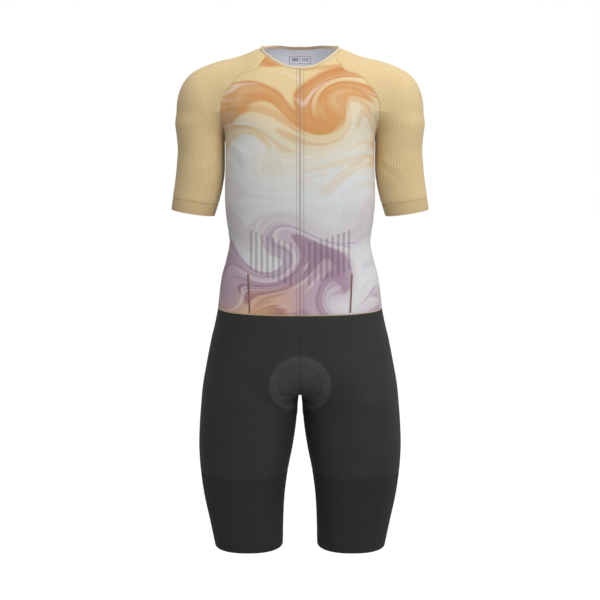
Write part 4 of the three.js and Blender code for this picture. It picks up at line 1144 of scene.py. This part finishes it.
# finish: brushed knit over foam, dark grey, matte
pad_cover = knit_material("brushed_pad_knit", dyed("#5b5b5d", "#4d4d50"), 1.2, groove=0.1, loops=1.2,
                          depth=0.2, roughness=0.9, sheen=0.3)
pad_points = []
pad_faces = []
pad_grain = []
for back in (False, True):
    for mirror in (1, -1):
        cut, inside = pad_part(back)
        cut_places = cut.reshape(-1, 3)
        normals = outward_normal(cut_places, suit_field)
        inside = inside.ravel()
        crown = np.clip(inside / 0.45, 0, 1)
        crown = crown * crown * (3 - 2 * crown)
        channel = sum(depth * np.exp(-((inside - share) / width) ** 2) for share, width, depth in PAD_CHANNELS)
        thick = PAD["edge"] + (PAD["middle"] - PAD["edge"]) * (crown - 0.28 * channel * crown)
        outer = cut_places - normals * PAD["behind"]
        inner = outer - normals * np.maximum(thick, PAD["edge"] * 0.8)[:, None]
        rows, columns = cut.shape[:2]
        numbers = np.arange(rows * columns).reshape(rows, columns)
        quads = np.stack([numbers[:-1, :-1], numbers[1:, :-1], numbers[1:, 1:], numbers[:-1, 1:]], -1)
        quads = quads.reshape(-1, 4)
        rim = np.concatenate([numbers[-1, :-1], numbers[:0:-1, -1], numbers[0, :0:-1]])
        rim_ahead = np.concatenate([rim[1:], [0]])
        count = rows * columns
        sides = np.stack([rim, rim + count, rim_ahead + count, rim_ahead], -1)
        faces = np.concatenate([quads, quads[:, ::-1] + count, sides])
        if (mirror < 0) != back:
            faces = faces[:, ::-1]
        start = sum(len(points) for points in pad_points)
        pad_faces += (faces + start).tolist()
        pad_points.append(np.concatenate([outer, inner]) * (mirror, 1, 1))
        pad_grain.append(np.tile(cut_places[:, [0, 2]] * METRES, (2, 1)))
piece = add_piece("seat_pad_foam", np.concatenate(pad_points), pad_faces, np.concatenate(pad_grain),
                  [pad_cover])
mesh = bmesh.new()
mesh.from_mesh(piece.data)
bmesh.ops.remove_doubles(mesh, verts=mesh.verts, dist=0.05 * METRES)
mesh.to_mesh(piece.data)
mesh.free()
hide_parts("seat_pad")

# Flat seams. Two needles and a looper lay a ladder of spun polyester thread over every seam where two cut
# edges meet. The thread is sand at the sleeves, pale at the side seams and charcoal on the shorts.
THREAD_SIZES = {"Pitch": 2.6, "Width": 3.0, "Thread": 0.55}


def thread_tree(name, strands):
    """A tree that takes lines with an outward direction at each point, named sizes and a material, and
    lays one group of strands at each step along the lines. Each strand is a small capsule with its place
    along and across the line, its length and its turn."""
    tree = bpy.data.node_groups.new(name, "GeometryNodeTree")
    tree.interface.new_socket("Geometry", in_out="INPUT", socket_type="NodeSocketGeometry")
    tree.interface.new_socket("Geometry", in_out="OUTPUT", socket_type="NodeSocketGeometry")
    for label, size in THREAD_SIZES.items():
        socket = tree.interface.new_socket(label, in_out="INPUT", socket_type="NodeSocketFloat")
        socket.default_value = size * METRES
    tree.interface.new_socket("Material", in_out="INPUT", socket_type="NodeSocketMaterial")
    given = add_node(tree, "NodeGroupInput").outputs
    thickness = add_node(tree, "ShaderNodeMath", given["Thread"], 0.8, operation="MULTIPLY")
    joined = add_node(tree, "GeometryNodeJoinGeometry")
    for along, across, length, turn in strands:
        bead = add_node(tree, "GeometryNodeMeshIcoSphere", Radius=0.5, Subdivisions=1)
        long = add_node(tree, "ShaderNodeMath", given["Pitch"], length, operation="MULTIPLY")
        size = add_node(tree, "ShaderNodeCombineXYZ", long, given["Thread"], thickness)
        x = add_node(tree, "ShaderNodeMath", given["Pitch"], along, operation="MULTIPLY")
        y = add_node(tree, "ShaderNodeMath", given["Width"], across, operation="MULTIPLY")
        spot = add_node(tree, "ShaderNodeCombineXYZ", x, y)
        strand = add_node(tree, "GeometryNodeTransform", Geometry=bead, Translation=spot,
                          Rotation=(0.0, 0.0, turn), Scale=size)
        tree.links.new(strand.outputs[0], joined.inputs[0])
    smooth = add_node(tree, "GeometryNodeSetShadeSmooth", Geometry=joined)
    curve = add_node(tree, "GeometryNodeMeshToCurve", Mesh=given["Geometry"])
    even = add_node(tree, "GeometryNodeResampleCurve", Curve=curve, Length=given["Pitch"], mode="LENGTH")
    tangent = add_node(tree, "GeometryNodeInputTangent")
    out = add_node(tree, "GeometryNodeInputNamedAttribute", Name="out", data_type="FLOAT_VECTOR")
    turned = add_node(tree, "FunctionNodeAlignRotationToVector", Vector=tangent, axis="X")
    turned = add_node(tree, "FunctionNodeAlignRotationToVector", Rotation=turned, Vector=out, axis="Z",
                      pivot_axis="X")
    laid = add_node(tree, "GeometryNodeInstanceOnPoints", Points=even, Instance=smooth, Rotation=turned)
    real = add_node(tree, "GeometryNodeRealizeInstances", Geometry=laid)
    done = add_node(tree, "GeometryNodeSetMaterial", Geometry=real, Material=given["Material"])
    add_node(tree, "NodeGroupOutput", done)
    return tree


def lay_thread(name, lines, tree, sizes, material):
    """Runs a thread tree over lines of places with outward directions, and keeps the plain mesh."""
    points = np.concatenate([places for places, _ in lines]) * METRES
    outs = np.concatenate([directions for _, directions in lines])
    edges = []
    start = 0
    for places, _ in lines:
        edges += [(start + i, start + i + 1) for i in range(len(places) - 1)]
        start += len(places)
    mesh = bpy.data.meshes.new(name)
    mesh.from_pydata(points.tolist(), edges, [])
    attribute = mesh.attributes.new("out", "FLOAT_VECTOR", "POINT")
    attribute.data.foreach_set("vector", outs.astype(np.float32).ravel())
    carrier = bpy.data.objects.new(name + "_lines", mesh)
    bpy.context.collection.objects.link(carrier)
    modifier = carrier.modifiers.new("thread", "NODES")
    modifier.node_group = tree
    values = dict(sizes, Material=material)
    for item in tree.interface.items_tree:
        if item.in_out == "INPUT" and item.name in values:
            value = values[item.name]
            modifier[item.identifier] = value * METRES if isinstance(value, float) else value
    evaluated = carrier.evaluated_get(bpy.context.evaluated_depsgraph_get())
    plain = bpy.data.meshes.new_from_object(evaluated)
    bpy.data.objects.remove(carrier)
    piece = bpy.data.objects.new(name, plain)
    bpy.context.collection.objects.link(piece)
    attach(piece, "root")
    return piece


def on_cloth(line, field, lift):
    """A line just over the cloth's outer face, with its outward directions."""
    normals = outward_normal(line, field)
    return line + normals * (fold_height(line) + lift)[:, None], normals


def both_sides(lines):
    return lines + [(places * (-1, 1, 1), directions * (-1, 1, 1)) for places, directions in lines]


def thread_material(name, code, other, roughness=0.6):
    """Fine uneven thread: its shade and its surface change over a fraction of a millimetre."""
    material, tree, shader = start_material(name, roughness)
    where = add_node(tree, "ShaderNodeTexCoord").outputs["Object"]
    twist = add_node(tree, "ShaderNodeTexNoise", Vector=where, Scale=1500.0, Detail=2.0)
    shade = add_node(tree, "ShaderNodeMix", twist, i6=code, i7=other, data_type="RGBA")
    tree.links.new(shade.outputs[2], shader.inputs["Base Color"])
    bump = add_node(tree, "ShaderNodeBump", Strength=0.5, Distance=0.1 * METRES, Height=twist)
    tree.links.new(bump.outputs[0], shader.inputs["Normal"])
    return material


# finish: spun polyester thread, matte
sand_thread = thread_material("sand_thread", "#c3a775", "#b99c6b")
pale_thread = thread_material("pale_thread", "#b9b4b4", "#aaa5a6")
dark_thread = thread_material("charcoal_thread", "#191918", "#212120")
# Strands of each ladder
# columns: along and across the line as shares, length in steps, turn in radians
FLAT_SEAM = [(0.0, -0.5, 0.85, 0.0), (0.0, 0.5, 0.85, 0.0), (0.0, 0.0, 1.35, 0.96)]
flat_tree = thread_tree("flat_seam_thread", FLAT_SEAM)
DIP_LIFT = 0.1 - SEAM_DIP["depth"]
armpit_row = int(np.argmin(np.abs(sleeve_lattice[:, 0] - underarm).sum(1)))
sand_lines = both_sides([
    on_cloth(front_raglan, suit_field, DIP_LIFT),
    on_cloth(back_raglan, suit_field, DIP_LIFT),
    on_cloth(sleeve_lattice[armpit_row:, 0], arm_field, DIP_LIFT),
    on_cloth(cuff_lattice[0], arm_field, DIP_LIFT),
])
lay_thread("sand_seam_thread", sand_lines, flat_tree, THREAD_SIZES, sand_thread)
below_arm = half_back[:, -1][half_back[:, -1, 2] <= underarm[2]]
pale_lines = both_sides([on_cloth(below_arm, body_field, DIP_LIFT)])
lay_thread("pale_seam_thread", pale_lines, flat_tree, THREAD_SIZES, pale_thread)
crotch_row = len(shorts_upper_parts)
dark_lines = both_sides([
    on_cloth(front_rows[-1], body_field, DIP_LIFT),
    on_cloth(half_back[-1], body_field, DIP_LIFT),
    on_cloth(shorts_lattice[crotch_row:, 0], suit_field, DIP_LIFT),
    on_cloth(band_lattice[0], suit_field, DIP_LIFT),
    on_cloth(band_lattice[:, 0], suit_field, DIP_LIFT),
])
for column in (0, -1):
    rise = shorts_lattice[:crotch_row, column]
    dark_lines.append(on_cloth(rise, suit_field, DIP_LIFT + pad_relief(rise)))
lay_thread("dark_seam_thread", dark_lines, flat_tree, THREAD_SIZES, dark_thread)

# Rows of stitches. One needle row runs over each cuff, the neck binding and the plain knit beside the zip,
# and a twin row over each leg band. They are the same threads, laid in the same way.
# columns: along and across the line as shares, length in steps, turn in radians
ROW = [(0.0, 0.0, 0.8, 0.0)]
TWIN_ROW = [(0.0, -0.5, 0.8, 0.0), (0.0, 0.5, 0.8, 0.0)]
ROW_SIZES = {"Pitch": 2.6, "Width": 2.4, "Thread": 0.45}
HEM_WIDTH = {"cuff": 4.0, "leg_band": 14.0}
ROW_LIFT = 0.05


def inset(rows, width):
    """The line on a panel that runs a width away from its first column."""
    line = []
    for row in rows:
        run = np.concatenate([[0], np.cumsum(np.linalg.norm(np.diff(row, axis=0), axis=1))])
        line.append([np.interp(width, run, row[:, axis]) for axis in range(3)])
    return np.array(line)


row_tree = thread_tree("needle_row_thread", ROW)
twin_tree = thread_tree("twin_needle_thread", TWIN_ROW)
cuff_line = inset(cuff_lattice[::-1].swapaxes(0, 1), HEM_WIDTH["cuff"])
sand_lines = both_sides([on_cloth(cuff_line, arm_field, ROW_LIFT)])
sand_lines.append((neck_line + binding_up * 1.3 + binding_out * 0.1, binding_out))
lay_thread("sand_row_thread", sand_lines, row_tree, ROW_SIZES, sand_thread)
placket_lines = both_sides([on_cloth(inset(front_rows, PLACKET), body_field, 0.0)])
lay_thread("pale_row_thread", placket_lines, row_tree, ROW_SIZES, pale_thread)
leg_line = inset(band_lattice[::-1].swapaxes(0, 1), HEM_WIDTH["leg_band"])
dark_lines = both_sides([on_cloth(leg_line, suit_field, ROW_LIFT)])
lay_thread("dark_row_thread", dark_lines, twin_tree, ROW_SIZES, dark_thread)

# Zip coil. The closed zip shows as one narrow line of nylon coil in the gap between the two front edges.
# Its teeth are strands across the gap, alternately from each side, laid as the thread is.
# columns: along and across the line as shares, length in steps, turn in radians
COIL = [(-0.25, -0.16, 1.6, 1.45), (0.25, 0.16, 1.6, 1.69)]
COIL_SIZES = {"Pitch": 1.2, "Width": 1.4, "Thread": 0.72}
COIL_DEPTH = 0.15
# finish: nylon coil, satin
zip_nylon = thread_material("nylon_zip_coil", "#b9adae", "#a89c9e", 0.4)
coil_tree = thread_tree("zip_coil_teeth", COIL)
zip_line = face_at(0, front_rows[:, 0, 2], -1)
zip_out = outward_normal(zip_line, body_field)
coil = lay_thread("zip_coil", [(zip_line - zip_out * COIL_DEPTH, zip_out)], coil_tree, COIL_SIZES, zip_nylon)
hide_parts("zip_chain")

# Care mark. A printed transfer is pressed onto the knit inside the back of the neck. It has a plain frame
# with plain bars and lines only.
MARK = {"width": 44, "top": -10, "bottom": -26, "height": 19, "line": 0.9, "film": 0.1, "lift": 0.12,
        "columns": 23, "rows": 13}


def care_mark(tree, across, down, where):
    """A framed mark with a divider, upright bars on one side and lines on the other."""
    x = add_node(tree, "ShaderNodeMath", across, 1 / METRES, operation="MULTIPLY")
    z = add_node(tree, "ShaderNodeMath", down, -1 / METRES, operation="MULTIPLY")
    half = MARK["width"] / 2
    frame_x = add_node(tree, "ShaderNodeMath", 1.0, between(tree, x, -half + 1.6, half - 1.6, 0.15),
                       operation="SUBTRACT")
    frame_z = add_node(tree, "ShaderNodeMath", 1.0, between(tree, z, 1.6, MARK["height"] - 1.6, 0.15),
                       operation="SUBTRACT")
    inner = add_node(tree, "ShaderNodeMath", between(tree, x, -half + 0.7, half - 0.7, 0.15),
                     between(tree, z, 0.7, MARK["height"] - 0.7, 0.15), operation="MULTIPLY")
    divider = between(tree, x, -MARK["line"] / 2, MARK["line"] / 2, 0.15)
    lines = add_node(tree, "ShaderNodeMath", frame_x, frame_z, operation="MAXIMUM")
    lines = add_node(tree, "ShaderNodeMath", lines, divider, operation="MAXIMUM")
    lines = add_node(tree, "ShaderNodeMath", lines, inner, operation="MULTIPLY")
    bars = add_node(tree, "ShaderNodeMath", between(tree, x, 3.8, 16.2, 0.1),
                    between(tree, z, 4.8, 12.6, 0.1), operation="MULTIPLY")
    wave = add_node(tree, "ShaderNodeMath", x, 1.6, operation="PINGPONG")
    bars = add_node(tree, "ShaderNodeMath", bars, between(tree, wave, 0.5, 2.0, 0.1), operation="MULTIPLY")
    rules = add_node(tree, "ShaderNodeMath", between(tree, x, -17.5, -4.0, 0.1),
                     between(tree, z, 4.2, 13.0, 0.1), operation="MULTIPLY")
    wave = add_node(tree, "ShaderNodeMath", z, 1.2, operation="PINGPONG")
    rules = add_node(tree, "ShaderNodeMath", rules, between(tree, wave, 0.7, 2.0, 0.1), operation="MULTIPLY")
    ink = add_node(tree, "ShaderNodeMath", bars, rules, operation="MAXIMUM")
    ink = add_node(tree, "ShaderNodeMath", lines, ink, operation="MAXIMUM")
    colour = add_node(tree, "ShaderNodeMix", ink, i6="#cdced6", i7="#59585f", data_type="RGBA")
    return colour.outputs[2], 0.0


# finish: printed transfer on pale knit, dark grey ink, matte
mark_print = knit_material("printed_care_mark", care_mark, 5.2, groove=0.1, loops=1.4, depth=0.1,
                           roughness=0.6, sheen=0.0)
mark_x = np.linspace(MARK["width"] / 2, -MARK["width"] / 2, MARK["columns"])
mark_z = np.linspace(MARK["top"], MARK["bottom"], MARK["rows"])
mark_rows = np.stack([face_at(x, mark_z, 1) for x in mark_x], 1)
mark_panel = Panel(mark_rows, MARK["columns"] // 2, ())
mark_relief = -CLOTH - MARK["lift"]
piece = add_shell("care_mark", mark_panel, mark_panel.normals(body_field), mark_relief, [mark_print],
                  mark_relief, MARK["film"])

# The camera is at the photograph's viewing angle: straight before the suit, a little from above
CAMERA = {"distance": 2.2, "pitch": 9.0, "target_z": -0.484, "lens": 67.2}
camera_data = bpy.data.cameras.new("camera")
camera_data.lens = CAMERA["lens"]
camera = bpy.data.objects.new("camera", camera_data)
pitch = math.radians(CAMERA["pitch"])
camera.location = (0, -CAMERA["distance"] * math.cos(pitch),
                   CAMERA["target_z"] + CAMERA["distance"] * math.sin(pitch))
camera.rotation_euler = (math.pi / 2 - pitch, 0, 0)
bpy.context.collection.objects.link(camera)
bpy.context.scene.camera = camera

# Studio. A pale floor lies at the height of the wearer's feet. The pale surround is brighter above, to the
# wearer's left and on the camera's side. Two soft lamps stand before the suit and over it, and a small weak
# one lights the inside of the neck.
bpy.context.scene.view_settings.view_transform = "Standard"
FLOOR_Z = -1.48
bpy.ops.mesh.primitive_circle_add(vertices=96, radius=14, fill_type="NGON", location=(0, 0, FLOOR_Z))
floor = bpy.context.object
floor.name = "floor"
floor_material, tree, shader = start_material("pale_floor", 0.9)
shader.inputs["Base Color"].default_value = linear("#a8a8a8")
shader.inputs["Emission Color"].default_value = linear("#ffffff")
seen = add_node(tree, "ShaderNodeLightPath").outputs["Is Camera Ray"]
own_light = add_node(tree, "ShaderNodeMath", seen, 0.75, operation="MULTIPLY")
tree.links.new(own_light.outputs[0], shader.inputs["Emission Strength"])
floor.data.materials.append(floor_material)
# How bright the surround is all round, and how much brighter to the wearer's left, behind and above
SURROUND = {"even": 0.46, "left": 0.19, "behind": -0.1, "above": 0.34}
world = bpy.data.worlds.new("studio")
bpy.context.scene.world = world
world.use_nodes = True
tree = world.node_tree
around = add_node(tree, "ShaderNodeTexCoord").outputs["Generated"]
brighter = (SURROUND["left"], SURROUND["behind"], SURROUND["above"])
glow = add_node(tree, "ShaderNodeVectorMath", around, brighter, operation="DOT_PRODUCT").outputs["Value"]
glow = add_node(tree, "ShaderNodeMath", glow, SURROUND["even"], operation="ADD")
seen = add_node(tree, "ShaderNodeLightPath").outputs["Is Camera Ray"]
glow = add_node(tree, "ShaderNodeMath", glow, seen, operation="MAXIMUM")
tree.links.new(glow.outputs[0], tree.nodes["Background"].inputs["Strength"])
tree.nodes["Background"].inputs["Color"].default_value = (1, 1, 1, 1)
# columns: name, place, aim, size, power
LAMPS = [
    ("key", (1.3, -2.2, 1.0), (0, 0, -0.4), 1.2, 29),
    ("top", (0.3, -0.5, 1.5), (0, 0, -0.4), 1.2, 8),
    ("inside_chest", (0, -0.02, -0.17), (0, 0.08, -0.02), 0.14, 0.17),
]
for name, spot, goal, size, power in LAMPS:
    lamp = bpy.data.lights.new(name, "AREA")
    lamp.size = size
    lamp.energy = power
    holder = bpy.data.objects.new(name, lamp)
    holder.location = spot
    holder.visible_camera = False
    aim = np.array(goal) - np.array(spot)
    holder.rotation_euler = (math.atan2(math.hypot(aim[0], aim[1]), -aim[2]), 0,
                             math.atan2(aim[1], aim[0]) - math.pi / 2)
    bpy.context.collection.objects.link(holder)
